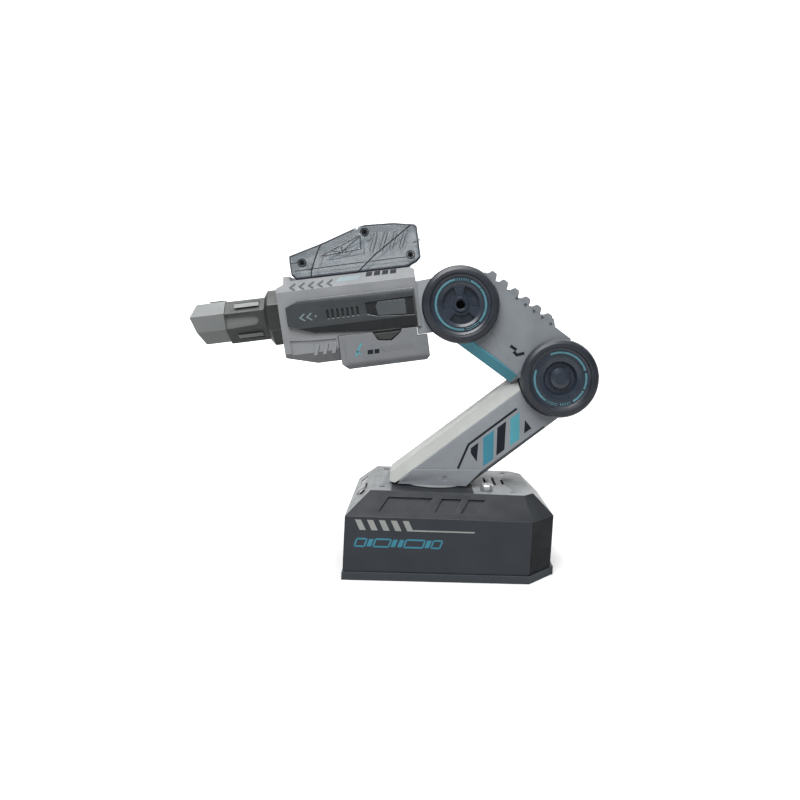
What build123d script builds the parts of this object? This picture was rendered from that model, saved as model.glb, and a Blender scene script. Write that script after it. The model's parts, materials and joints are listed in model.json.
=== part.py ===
from build123d import *
import math
import os

# Desktop robot arm: a hipped base, a yaw turntable, a fixed-slope lower arm, a folding upper arm
# and a tilting pellet launcher head. Millimetres, +Z up, origin at the centre of the base's
# underside. The head points to -X, and the near side is -Y.

# Driving dimensions: base
BASE_HALF_X = 98.0
BASE_HALF_Y = 72.0
BASE_CHAMFER = 25.0
PLATE_TOP = 8.5
WALL_TOP = 59.0
PLATEAU_Z = 78.5
SLOPE_INSET = 20.5
PLATEAU_CHAMFER = 10.0
SHELL_WALL = 2.5
COVER_DROP = 2.2
LIP = 3.0
COVER_SPLIT_LEFT = -58.7
COVER_SPLIT_RIGHT = 19.5

# Driving dimensions: turntable
YAW_X = -18.0
HUB_R = 30.0
DISC_R = 37.0
DISC_TOP = 80.0
DISC_BOTTOM = 78.9
GEAR_MODULE = 1.5
YAW_TEETH = 46
PINION_TEETH = 12

# Driving dimensions: arms
ELBOW = (97.0, 0.0, 190.5)
WRIST = (-2.5, 0.0, 255.0)
LOWER_ANGLE = 39.7
HEAD_TILT = 10.5
ARM_HALF = 30.0
LOWER_HALF = 28.0
TONGUE_HALF = 15.5
CHEEK_GAP = 16.2
WALL = 2.4
LOWER_REAR = -32.3
LOWER_FRONT = 12.4
SPINE_FRONT = 22.4
SPINE_NOSE_X = -61.5
UPPER_TOP = 37.5
UPPER_BOTTOM = -31.0
ELBOW_R = 37.5
WRIST_R = 35.5
TOOTH_TIP = 44.6
TOOTH_PITCH = 13.4
AXLE_R = 4.0
JOINT_TEETH = 24
DRIVE_DISTANCE = GEAR_MODULE * (JOINT_TEETH + PINION_TEETH) / 2
RUNNING_GAP = 0.05

# Driving dimensions: round joint covers
ELBOW_RIM_R = 38.0
ELBOW_LIP_R = 29.5
ELBOW_RING_R = 26.2
WRIST_RIM_R = 36.6
WRIST_LIP_R = 28.3
WRIST_RING_R = 24.6
RING_WIDTH = 2.2
RING_PROUD = 0.5
COVER_DEPTH = 12.0
DISH_FACE = ARM_HALF + COVER_DEPTH - 3.4
WRIST_AXLE_HALF = 29.0
ELBOW_AXLE_HALF = 33.0

# Driving dimensions: head, in its own frame (u forward from the wrist, v up)
BODY_REAR = 39.0
BODY_FRONT = 168.5
BODY_TOP = 41.2
BODY_HALF = 30.0
PANEL_PROUD = 3.5
MODULE_HALF = 33.0
BARREL_V = 9.8
HOPPER_HALF = 20.0
HOPPER_WALL = 1.8


def sloped_frame(origin, along, across_sign):
    """Frame whose x runs along a direction in XZ, and whose z is +Y or -Y."""
    return Plane(origin=origin, x_dir=along, z_dir=(0, across_sign, 0))


def direction(start, end):
    """Unit vector from one point to another."""
    return (Vector(*end) - Vector(*start)).normalized()


lower_rad = math.radians(LOWER_ANGLE)
tilt_rad = math.radians(HEAD_TILT)
ARM_LENGTH = (Vector(*ELBOW) - Vector(*WRIST)).length
LOWER = sloped_frame(ELBOW, (math.cos(lower_rad), 0, math.sin(lower_rad)), -1)
UPPER = sloped_frame(WRIST, direction(WRIST, ELBOW), -1)
HEAD = sloped_frame(WRIST, (-math.cos(tilt_rad), 0, -math.sin(tilt_rad)), 1)
WORLD = Plane(origin=(0, 0, 0), x_dir=(1, 0, 0), z_dir=(0, -1, 0))


def slab(frame, points, low, high):
    """Prism with a polygon outline in the frame's own x and y, from low to high on its z."""
    face = make_face(Polyline(*points, close=True))
    return frame.location * Pos(0, 0, low) * extrude(face, amount=high - low, dir=(0, 0, 1))


def drum(frame, x, y, radius, low, high):
    """Cylinder along the frame's z."""
    centre = Pos(x, y, (low + high) / 2)
    return frame.location * centre * Cylinder(radius, high - low)


def block(frame, x, y, z):
    """Box from (low, high) pairs in the frame."""
    centre = Pos(sum(x) / 2, sum(y) / 2, sum(z) / 2)
    return frame.location * centre * Box(x[1] - x[0], y[1] - y[0], z[1] - z[0])


def turned(frame, x, y, profile):
    """Ring or disc turned about the frame's z from (radius, height) points."""
    section = make_face(Polyline(*[(r, 0, h) for r, h in profile], close=True))
    return frame.location * Pos(x, y, 0) * revolve(section, Axis.Z)


def spur_gear(frame, x, y, teeth, phase, low, high, bore):
    """Spur gear with straight-sided teeth, one of them centred on the phase angle."""
    pitch_r = GEAR_MODULE * teeth / 2
    step = 360.0 / teeth
    rows = [(-1.15, 0.30), (0.0, 0.215), (0.8, 0.10)]
    points = []
    for tooth in range(teeth):
        middle = phase + tooth * step
        rising = [(height, middle - half * step) for height, half in rows]
        falling = [(height, middle + half * step) for height, half in reversed(rows)]
        for height, angle in rising + falling:
            radius = pitch_r + height * GEAR_MODULE
            rad = math.radians(angle)
            points.append((x + radius * math.cos(rad), y + radius * math.sin(rad)))
    wheel = slab(frame, points, low, high)
    if bore:
        wheel -= drum(frame, x, y, bore, low - 1, high + 1)
    return wheel


def both_sides(solid):
    """A solid and its mirror image across the middle plane."""
    return [solid, mirror(solid, about=Plane.XZ)]


# ------------------------------------------------------------------ base
GROUND = Plane(origin=(0, 0, 0), x_dir=(1, 0, 0), z_dir=(0, 0, 1))
CORNER_SHRINK = 2 - math.sqrt(2)
SLOPE_RISE = PLATEAU_Z - WALL_TOP
SLOPE_LENGTH = math.hypot(SLOPE_INSET, SLOPE_RISE)
CAVITY_TOP = 73.9
CAVITY_WALL_TOP = 55.6
CAVITY_INSET = 21.8
CAVITY_CHAMFER = 11.0
SLOPE_L = Plane(
    origin=(-BASE_HALF_X + SLOPE_INSET / 2, 0, WALL_TOP + SLOPE_RISE / 2),
    x_dir=(0, 1, 0),
    z_dir=(-SLOPE_RISE, 0, SLOPE_INSET),
)
SLOPE_N = Plane(
    origin=(0, -BASE_HALF_Y + SLOPE_INSET / 2, WALL_TOP + SLOPE_RISE / 2),
    x_dir=(1, 0, 0),
    z_dir=(0, -SLOPE_RISE, SLOPE_INSET),
)

# Controls on the left slope: (place along Y, place up the slope)
CUT_DEPTH = 9.0
CUT_HEIGHT = 4.0
ROCKER_Y = -12.0
ROCKER_SIZE = (22.0, 12.0)
ROCKER_CLEAR = (1.1, 0.8)
ROCKER_PIVOT_DEPTH = 3.0
ROCKER_PIVOT_R = 1.8
ROCKER_PIVOT_HALF = 6.8
ROCKER_BOTTOM = -5.0
ROCKER_SHOULDER = 1.6
ROCKER_CROWN = 2.1
WINDOW_PLACE = (32.0, 2.6)
WINDOW_SIZE = (17.0, 9.0)
WINDOW_SUNK = 0.6
BUTTON_PLACE = (-30.0, -2.0)
BUTTON_R = 3.0
BUTTON_FLANGE_R = 4.4
BUTTON_TOP = 1.8
ROCKER_PLANE = Plane(
    origin=SLOPE_L.from_local_coords(Vector(ROCKER_Y, 0, 0)),
    x_dir=SLOPE_L.x_dir,
    z_dir=-SLOPE_L.y_dir,
)

# Knob, speaker and slots on the plateau
KNOB = (32.5, -37.5)
KNOB_R = 6.0
KNOB_FOOT = PLATEAU_Z + 0.35
KNOB_TOP = 84.8
KNOB_STEM_R = 2.5
KNOB_STEM_LOW = 66.0
KNOB_RIDGES = 16
SPEAKER_X = 43.5
SLOTS = [(34.5, 1.6, 23.4), (43.7, 1.1, 31.7), (52.4, -1.0, 19.0)]
SLOT_WIDTH = 2.5
NOTCHES = [(-67.6, -37.0), (-67.6, 37.0), (57.8, -40.0), (57.8, 40.0)]
NOTCH_SIZE = (5.0, 3.6, 5.0)
PANEL_DEPTH = 2.0
PANEL_MARGIN = 6.5
SLOPE_PANELS = [(-60.3, -19.5, -8.0), (-10.6, 7.9, -7.0), (14.8, 29.9, -8.5)]

# Inside and underside
MOTOR_X = YAW_X - GEAR_MODULE * (YAW_TEETH + PINION_TEETH) / 2
MOTOR_R = 12.0
MOTOR_TOP = 46.0
SHAFT_R = 2.0
GEAR_LOW = 54.0
GEAR_HIGH = 60.0
FLOOR_TOP = 2.6
POSTS = [(-86.0, -60.0), (-86.0, 60.0), (70.0, -58.0), (70.0, 58.0)]
POST_R = 5.0
POST_TOP = 50.0
SCREW_HEAD_R = 3.4
SCREW_SHANK_R = 1.5
DOOR = ((16.0, 80.0), (-30.0, 30.0))
DOOR_GAP = 0.3
DOOR_TOP = 2.2
CELL_R = 7.2
CELL_LENGTH = 50.0
CELL_PITCH = 14.6
CELL_X = 48.0
CELL_Z = 13.6
TRAY = ((19.0, 77.0), (-29.6, 29.6))
TRAY_TOP = 14.0
PAD_R = 8.0
PAD_HEIGHT = 1.4
PAD_PLACES = [(-78.0, -46.0), (-78.0, 46.0), (70.0, -46.0), (70.0, 46.0)]
BOARD = ((-34.0, 12.0), (-30.0, 30.0))
BOARD_Z = 34.0
BOARD_THICK = 1.6
BOARD_INSET = 5.0
CHIPS = [
    ((-24.0, -12.0), (-8.0, 8.0), 1.8),
    ((-4.0, 6.0), (8.0, 22.0), 1.8),
    ((-4.0, 8.0), (-24.0, -14.0), 7.4),
]


def base_outline(inset, chamfer):
    """Plan of the base: square left corners, chamfered right corners."""
    x = BASE_HALF_X - inset
    y = BASE_HALF_Y - inset
    return [(-x, -y), (x - chamfer, -y), (x, -y + chamfer), (x, y - chamfer), (x - chamfer, y), (-x, y)]


def hipped(low, wall_top, top, inset_low, inset_top, chamfer_low, chamfer_top):
    """Straight walls up to wall_top, then flat slopes in to a plateau at top."""
    walls = slab(GROUND, base_outline(inset_low, chamfer_low), low, wall_top)
    lower = Pos(0, 0, wall_top) * make_face(Polyline(*base_outline(inset_low, chamfer_low), close=True))
    upper = Pos(0, 0, top) * make_face(Polyline(*base_outline(inset_top, chamfer_top), close=True))
    return walls + loft([lower, upper], ruled=True)


def slope_panel_cutter(top_left, top_right, lean):
    """Slanted recess on the near slope; lean is how far its foot is shifted along x."""
    half = SLOPE_LENGTH / 2 - PANEL_MARGIN
    points = [
        (top_left, half),
        (top_right, half),
        (top_right + lean, -half),
        (top_left + lean, -half),
    ]
    return slab(SLOPE_N, points, -PANEL_DEPTH, CUT_HEIGHT)


def cover_plan(left):
    """Plan of the grey end covers, from the hip lines to the dark middle of the plateau."""
    side_y = BASE_HALF_Y - SLOPE_INSET
    if left:
        outer = -BASE_HALF_X - 1
        corner = -BASE_HALF_X + SLOPE_INSET
        near = [(outer, -BASE_HALF_Y - 1), (corner, -side_y), (COVER_SPLIT_LEFT, -side_y)]
        return near + [(x, -y) for x, y in reversed(near)]
    corner_x = BASE_HALF_X - SLOPE_INSET
    foot_y = BASE_HALF_Y - BASE_CHAMFER
    head_y = side_y - PLATEAU_CHAMFER
    outer = BASE_HALF_X + 1
    outer_y = foot_y + (foot_y - head_y) / SLOPE_INSET
    near = [(outer, -outer_y), (corner_x, -head_y), (corner_x - PLATEAU_CHAMFER, -side_y)]
    near.append((COVER_SPLIT_RIGHT, -side_y))
    return near + [(x, -y) for x, y in reversed(near)]


def slope_window(margin, low, high):
    """Rectangle of the sensor window on the left slope, shrunk by a margin."""
    y, up = WINDOW_PLACE
    half_x = WINDOW_SIZE[0] / 2 - margin
    half_y = WINDOW_SIZE[1] / 2 - margin
    return block(SLOPE_L, (y - half_x, y + half_x), (up - half_y, up + half_y), (low, high))


def end_slope_cutters():
    """Openings for the sensor window, rocker with its pivot, and button in the left slope."""
    half_x = ROCKER_SIZE[0] / 2
    half_y = ROCKER_SIZE[1] / 2
    rocker_x = (ROCKER_Y - half_x, ROCKER_Y + half_x)
    rocker = block(SLOPE_L, rocker_x, (-half_y, half_y), (-CUT_DEPTH, CUT_HEIGHT))
    pivot_half = ROCKER_PIVOT_HALF + 0.2
    pivot = drum(ROCKER_PLANE, 0, -ROCKER_PIVOT_DEPTH, ROCKER_PIVOT_R + RUNNING_GAP, -pivot_half, pivot_half)
    button = drum(SLOPE_L, BUTTON_PLACE[0], BUTTON_PLACE[1], BUTTON_R + 0.4, -CUT_DEPTH, CUT_HEIGHT)
    return [rocker, pivot, slope_window(0, -CUT_DEPTH, CUT_HEIGHT), button]


def plateau_cutters():
    """Speaker slots and the knob's hole."""
    cutters = [Pos(x, y, PLATEAU_Z) * Box(SLOT_WIDTH, length, 12) for x, y, length in SLOTS]
    cutters.append(drum(GROUND, KNOB[0], KNOB[1], KNOB_STEM_R + RUNNING_GAP, GEAR_HIGH, KNOB_TOP))
    return cutters


def make_base_shell():
    """Dark hipped shell with the two grey end covers let into it."""
    parts = {}
    outer = hipped(PLATE_TOP, WALL_TOP, PLATEAU_Z, 0, SLOPE_INSET, BASE_CHAMFER, PLATEAU_CHAMFER)
    inner_corner = BASE_CHAMFER - CORNER_SHRINK * SHELL_WALL
    cavity = hipped(PLATE_TOP - 1, CAVITY_WALL_TOP, CAVITY_TOP, SHELL_WALL, CAVITY_INSET, inner_corner,
                    CAVITY_CHAMFER)
    skin = outer - Pos(0, 0, -COVER_DROP) * outer
    cutters = end_slope_cutters() + plateau_cutters()
    notches = [Pos(x, y, PLATEAU_Z) * Box(*NOTCH_SIZE) for x, y in NOTCHES]
    shell = outer - cavity
    for name, left in (("end_cover_left", True), ("end_cover_right", False)):
        cover = skin & slab(GROUND, cover_plan(left), WALL_TOP - 9, PLATEAU_Z + 7)
        shell -= cover
        for cutter in cutters + notches:
            cover -= cutter
        parts[name] = cover
    for cutter in cutters:
        shell -= cutter
    shell -= drum(GROUND, YAW_X, 0, HUB_R + 0.6, GEAR_HIGH, PLATEAU_Z + 12)
    for top_left, top_right, lean in SLOPE_PANELS:
        cutter = slope_panel_cutter(top_left, top_right, lean)
        shell -= cutter
        shell -= mirror(cutter, about=Plane.XZ)
    parts["base_shell"] = shell
    return parts


def make_base_plate():
    """Bottom plate with posts and lip, its pads and screws, and the battery door and pack."""
    parts = {}
    plate = slab(GROUND, base_outline(-0.8, BASE_CHAMFER), 0, PLATE_TOP - 1.2)
    plate += slab(GROUND, base_outline(0.8, BASE_CHAMFER), 0, PLATE_TOP)
    lip_half = BASE_HALF_Y - BASE_CHAMFER
    plate += block(GROUND, (BASE_HALF_X - 6, BASE_HALF_X + LIP), (-lip_half, lip_half), (0, PLATE_TOP))
    plate -= slab(GROUND, base_outline(4.0, BASE_CHAMFER), FLOOR_TOP, PLATE_TOP + 10)
    for x, y in POSTS:
        plate += drum(GROUND, x, y, POST_R, 1, POST_TOP)
        plate -= drum(GROUND, x, y, SCREW_HEAD_R + 0.2, -1, 2.2)
        plate -= drum(GROUND, x, y, SCREW_SHANK_R + 0.1, -1, 30)
    for x in (BOARD[0][0] + BOARD_INSET, BOARD[0][1] - BOARD_INSET):
        for y in (BOARD[1][0] + BOARD_INSET, BOARD[1][1] - BOARD_INSET):
            plate += drum(GROUND, x, y, 3.0, 1, BOARD_Z)
    plate -= block(GROUND, DOOR[0], DOOR[1], (-1, FLOOR_TOP + 2))
    pads = [drum(GROUND, x, y, PAD_R, 0, PAD_HEIGHT) for x, y in PAD_PLACES]
    for pad in pads:
        plate -= pad
    parts["base_plate"] = plate
    parts["foot_pads"] = Compound(pads)

    door_x = (DOOR[0][0] + DOOR_GAP, DOOR[0][1] - DOOR_GAP)
    door_y = (DOOR[1][0] + DOOR_GAP, DOOR[1][1] - DOOR_GAP)
    door = block(GROUND, door_x, door_y, (0, DOOR_TOP))
    for x in (24, 28, 32):
        door -= block(GROUND, (x, x + 2), (-8, 8), (-1, 0.6))
    parts["battery_door"] = door
    cells = []
    for i in range(4):
        place = Pos(CELL_X, (i - 1.5) * CELL_PITCH, CELL_Z) * Rot(0, 90, 0)
        cells.append(place * Cylinder(CELL_R, CELL_LENGTH))
    tray = block(GROUND, TRAY[0], TRAY[1], (DOOR_TOP, TRAY_TOP))
    for cell in cells:
        tray -= cell
    tray -= block(GROUND, (21, 75), (-28.5, 28.5), (TRAY_TOP - 1.5, TRAY_TOP + 2))
    parts["battery_pack"] = tray + Compound(cells)
    screws = []
    for x, y in POSTS:
        head = drum(GROUND, x, y, SCREW_HEAD_R, 0.6, 2.2)
        screws.append(head + drum(GROUND, x, y, SCREW_SHANK_R, 1.5, 26))
    parts["base_screws"] = Compound(screws)
    return parts


def make_base_insides():
    """Circuit board, speaker, yaw motor with its pinion, and the bearing under the turntable."""
    parts = {}
    board_top = BOARD_Z + BOARD_THICK
    board = block(GROUND, BOARD[0], BOARD[1], (BOARD_Z, board_top))
    for x, y, height in CHIPS:
        board += block(GROUND, x, y, (board_top, board_top + height))
    for y in (-4, 0, 4):
        board += drum(GROUND, 4, y, 1.6, board_top, board_top + 5.4)
    parts["main_board"] = board
    cone = [(0, 62), (8, 62), (8, 66), (17, 71.5), (19, 71.5), (19, CAVITY_TOP)]
    cone += [(16.5, CAVITY_TOP), (7, 68.5), (0, 69.5)]
    parts["speaker"] = turned(GROUND, SPEAKER_X, 0, cone)
    motor = drum(GROUND, MOTOR_X, 0, MOTOR_R, FLOOR_TOP, MOTOR_TOP)
    motor += drum(GROUND, MOTOR_X, 0, 7.0, MOTOR_TOP, 49)
    motor += drum(GROUND, MOTOR_X, 0, SHAFT_R - RUNNING_GAP, 49, 62)
    motor += block(GROUND, (MOTOR_X - 17, MOTOR_X + 17), (-6, 6), (FLOOR_TOP, 8))
    parts["yaw_motor"] = motor
    phase = 180.0 / PINION_TEETH
    parts["yaw_pinion"] = spur_gear(GROUND, MOTOR_X, 0, PINION_TEETH, phase, GEAR_LOW, GEAR_HIGH, SHAFT_R)
    bore = HUB_R + RUNNING_GAP + 0.01
    ring = [(bore, 66.9), (38, 66.9), (40, CAVITY_TOP), (bore, CAVITY_TOP)]
    parts["bearing_ring"] = turned(GROUND, YAW_X, 0, ring)
    return parts


def make_base_controls():
    """Sensor window, rocker on its pivot, push button and knurled knob."""
    parts = {}
    parts["sensor_window"] = slope_window(0, -4.0, -WINDOW_SUNK) + slope_window(2.0, -CUT_DEPTH, -3.0)
    half_x = ROCKER_SIZE[0] / 2 - ROCKER_CLEAR[0]
    half_y = ROCKER_SIZE[1] / 2 - ROCKER_CLEAR[1]
    crown = [(-half_x, 0.2), (-half_x, ROCKER_BOTTOM), (half_x, ROCKER_BOTTOM), (half_x, 0.2),
             (half_x * 0.55, ROCKER_SHOULDER), (0, ROCKER_CROWN), (-half_x * 0.55, ROCKER_SHOULDER)]
    rocker = slab(ROCKER_PLANE, crown, -half_y, half_y)
    pivot = drum(ROCKER_PLANE, 0, -ROCKER_PIVOT_DEPTH, ROCKER_PIVOT_R, -ROCKER_PIVOT_HALF, ROCKER_PIVOT_HALF)
    parts["power_rocker"] = rocker + pivot
    y, up = BUTTON_PLACE
    button = drum(SLOPE_L, y, up, BUTTON_R, -8, BUTTON_TOP) + drum(SLOPE_L, y, up, BUTTON_FLANGE_R, -11, -8)
    parts["push_button"] = button

    x, y = KNOB
    outline = [(0, KNOB_FOOT), (KNOB_R, KNOB_FOOT), (KNOB_R, KNOB_TOP - 1.2)]
    outline += [(KNOB_R - 1.2, KNOB_TOP), (0, KNOB_TOP)]
    knob = turned(GROUND, x, y, outline)
    for i in range(KNOB_RIDGES):
        angle = math.tau * i / KNOB_RIDGES
        knob -= drum(GROUND, x + KNOB_R * math.cos(angle), y + KNOB_R * math.sin(angle), 0.5, 79.7, 83.3)
    knob -= Pos(x, y - 3.4, KNOB_TOP) * Box(1.0, 3.2, 0.8)
    knob += drum(GROUND, x, y, KNOB_STEM_R, KNOB_STEM_LOW, PLATEAU_Z + 1)
    parts["mode_knob"] = knob
    return parts


# ------------------------------------------------------------------ lower arm
ARM_FLOOR = 82.0
SHOE_HALF = 30.4
SHOE_DIMPLE = (-8.0, 86.8, 2.6)
TONGUE_DRUM_R = 30.0
ELBOW_CLEAR_R = ELBOW_R + 1.0
BUSH_R = 6.5
DRIVE_LOW = -8.5
DRIVE_HIGH = -2.5
DRIVE_ANGLE = 20.0
SPINE_FLAT = 18.0
SPINE_HOLLOW = (82.0, 214.0)
SHOE_OUTLINE = [(-53.6, DISC_TOP), (-38.3, 94.3), (28.2, 96.7), (13.2, DISC_TOP)]


def above(height):
    """Everything above a height, in the arm's length range."""
    return Pos(20, 0, height + 150) * Box(400, 200, 300)


def lower_bar(margin, front, half):
    """Sloped bar of the lower arm, reaching below the turntable before it is cut level."""
    return block(LOWER, (-230, 0), (LOWER_REAR + margin, front - margin), (-half, half))


def joint_pocket(frame, x, radius, inner, outer):
    """Both side spaces around a joint axis, from inner to outer on either side."""
    return drum(frame, x, 0, radius, inner, outer) + drum(frame, x, 0, radius, -outer, -inner)


def drive_motor(frame, x, y):
    """Flat gear motor with its output shaft along the joint axis direction."""
    return drum(frame, x, y, MOTOR_R, 0.0, 12.6) + drum(frame, x, y, SHAFT_R - RUNNING_GAP, -10.0, 0.5)


def drive_gear(frame, x, y, teeth, phase, bore):
    """Gear in the slot beside a joint's motor."""
    return spur_gear(frame, x, y, teeth, phase, DRIVE_LOW, DRIVE_HIGH, bore)


def joint_bushes(frame):
    """Bronze bush at either end of a tongue, running on the axle."""
    inner = AXLE_R + RUNNING_GAP
    sleeve = turned(frame, 0, 0, [(inner, 9.6), (BUSH_R, 9.6), (BUSH_R, TONGUE_HALF), (inner, TONGUE_HALF)])
    return Compound(both_sides(sleeve))


def make_lower_arm():
    parts = {}
    disc = drum(GROUND, YAW_X, 0, DISC_R, DISC_BOTTOM, DISC_TOP)
    disc += drum(GROUND, YAW_X, 0, HUB_R, GEAR_HIGH, DISC_BOTTOM + 0.5)
    disc -= drum(GROUND, YAW_X, 0, HUB_R - 4, GEAR_HIGH - 1, DISC_TOP - 2.5)
    disc -= drum(GROUND, YAW_X, 0, 6, DISC_TOP - 5, DISC_TOP + 1)
    parts["turntable_disc"] = disc
    parts["turntable_gear"] = spur_gear(GROUND, YAW_X, 0, YAW_TEETH, 180.0, GEAR_LOW, GEAR_HIGH, HUB_R - 6)

    shoe = slab(WORLD, SHOE_OUTLINE, LOWER_HALF, SHOE_HALF)
    shoe += slab(WORLD, SHOE_OUTLINE, -SHOE_HALF, -LOWER_HALF)
    shoe += block(GROUND, (-51, 13), (-SHOE_HALF, SHOE_HALF), (DISC_TOP, ARM_FLOOR))
    toe = [(-80, 60), (-60, 60), (-53.2, DISC_TOP), (-51, ARM_FLOOR), (-80, ARM_FLOOR)]
    shoe -= slab(WORLD, toe, -40, 40)
    shoe -= drum(GROUND, YAW_X, 0, 6, DISC_TOP - 5, ARM_FLOOR + 1)
    x, z, radius = SHOE_DIMPLE
    for dimple in both_sides(drum(WORLD, x, z, radius, SHOE_HALF - 0.8, SHOE_HALF + 1)):
        shoe -= dimple
    parts["arm_shoe"] = shoe

    outer = lower_bar(0, LOWER_FRONT, LOWER_HALF) & above(ARM_FLOOR)
    outer += drum(LOWER, 0, 0, TONGUE_DRUM_R, -TONGUE_HALF, TONGUE_HALF)
    outer -= joint_pocket(LOWER, 0, ELBOW_CLEAR_R, TONGUE_HALF, 40)
    hollow = lower_bar(WALL, LOWER_FRONT, LOWER_HALF - WALL) & above(ARM_FLOOR - 10)
    hollow += drum(LOWER, 0, 0, TONGUE_DRUM_R - WALL, -TONGUE_HALF + WALL, TONGUE_HALF - WALL)
    hollow -= joint_pocket(LOWER, 0, ELBOW_CLEAR_R + WALL, TONGUE_HALF - WALL, 40)
    arm = outer - hollow - drum(LOWER, 0, 0, BUSH_R, -40, 40)
    keep_near = block(LOWER, (-260, 60), (-80, 80), (0, 60))
    parts["lower_arm_shell_near"] = arm & keep_near
    parts["lower_arm_shell_far"] = arm - keep_near

    section = [(LOWER_FRONT, -LOWER_HALF), (LOWER_FRONT, LOWER_HALF), (SPINE_FRONT, SPINE_FLAT),
               (SPINE_FRONT, -SPINE_FLAT)]
    inner = [(LOWER_FRONT - 1, -LOWER_HALF + 3.6), (LOWER_FRONT - 1, LOWER_HALF - 3.6),
             (SPINE_FRONT - WALL, SPINE_FLAT - 1.2), (SPINE_FRONT - WALL, -SPINE_FLAT + 1.2)]
    along = Plane(origin=LOWER.from_local_coords(Vector(-260, 0, 0)), x_dir=LOWER.y_dir, z_dir=LOWER.x_dir)
    spine = slab(along, section, 0, 300) - slab(along, inner, *SPINE_HOLLOW)
    spine &= block(GROUND, (SPINE_NOSE_X, SPINE_NOSE_X + 400), (-100, 100), (DISC_TOP, DISC_TOP + 300))
    spine -= drum(LOWER, 0, 0, ELBOW_CLEAR_R, -60, 60)
    spine &= block(LOWER, (-300, 0), (-50, 50), (-60, 60))
    parts["lower_arm_spine"] = spine

    drive_x = -DRIVE_DISTANCE * math.cos(math.radians(DRIVE_ANGLE))
    drive_y = -DRIVE_DISTANCE * math.sin(math.radians(DRIVE_ANGLE))
    parts["elbow_motor"] = drive_motor(LOWER, drive_x, drive_y)
    phase = DRIVE_ANGLE + 180.0 / PINION_TEETH
    parts["elbow_pinion"] = drive_gear(LOWER, drive_x, drive_y, PINION_TEETH, phase, SHAFT_R)
    parts["elbow_gear"] = drive_gear(LOWER, 0, 0, JOINT_TEETH, 180 + DRIVE_ANGLE, AXLE_R)
    parts["elbow_bushes"] = joint_bushes(LOWER)
    return parts


# ------------------------------------------------------------------ upper arm
FIRST_TOOTH = 8.7
TOOTH_COUNT = 6
DIMPLES = [40.2, 50.6, 60.8, 71.0, 81.2]
BEVEL = 9.0
STRIP = 1.5
STRIP_START = 18.0
STRIP_END = 84.0
FOLD_GAP = 0.7
TOOTH_HALF = ARM_HALF - 2.5
TOOTH_ROOT = UPPER_TOP - 3
DIMPLE_V = 37.0
DIMPLE_R = 1.7
ELBOW_CHEEK_R = 38.2
WRIST_CHEEK_R = 36.4


def fold_line(gap):
    """Block of the lower arm's front face, seen from the upper arm, grown by a gap."""
    return block(LOWER, (-200, 60), (-60, SPINE_FRONT + gap), (-60, 60))


def upper_outline(margin, half, low):
    """Bar between the two round ends, shrunk by a margin, on one side of the middle."""
    bar = block(UPPER, (0, ARM_LENGTH), (UPPER_BOTTOM + margin, UPPER_TOP - margin), (low, half))
    bar -= fold_line(FOLD_GAP + margin)
    bar += drum(UPPER, ARM_LENGTH, 0, ELBOW_R - margin, low, half)
    bar += drum(UPPER, 0, 0, WRIST_R - margin, low, half)
    return bar


def bevel_wedge(depth):
    """Long edge along the underside, cut off at 45 degrees by a bevel of a given depth."""
    along = Plane(origin=UPPER.from_local_coords(Vector(-60, 0, 0)), x_dir=UPPER.y_dir, z_dir=UPPER.x_dir)
    reach = 20
    side = -1 if along.y_dir.Y > 0 else 1
    points = [
        (UPPER_BOTTOM - reach, side * (ARM_HALF - BEVEL - reach - depth)),
        (UPPER_BOTTOM + BEVEL + reach + depth, side * (ARM_HALF + reach)),
        (UPPER_BOTTOM - reach, side * (ARM_HALF + reach)),
    ]
    return slab(along, points, 0, 260)


def tooth_outline(tip):
    """One tooth of the rack along the arm's back, leaning towards the wrist."""
    return [(tip - 8.6, TOOTH_ROOT), (tip - 8.6, 38.6), (tip - 5.4, 39.6), (tip - 3.4, TOOTH_TIP - 0.8),
            (tip - 2.4, TOOTH_TIP), (tip + 1.8, TOOTH_TIP), (tip + 2.8, TOOTH_TIP - 0.9), (tip + 4.8, 39.6),
            (tip + 4.8, TOOTH_ROOT)]


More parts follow.
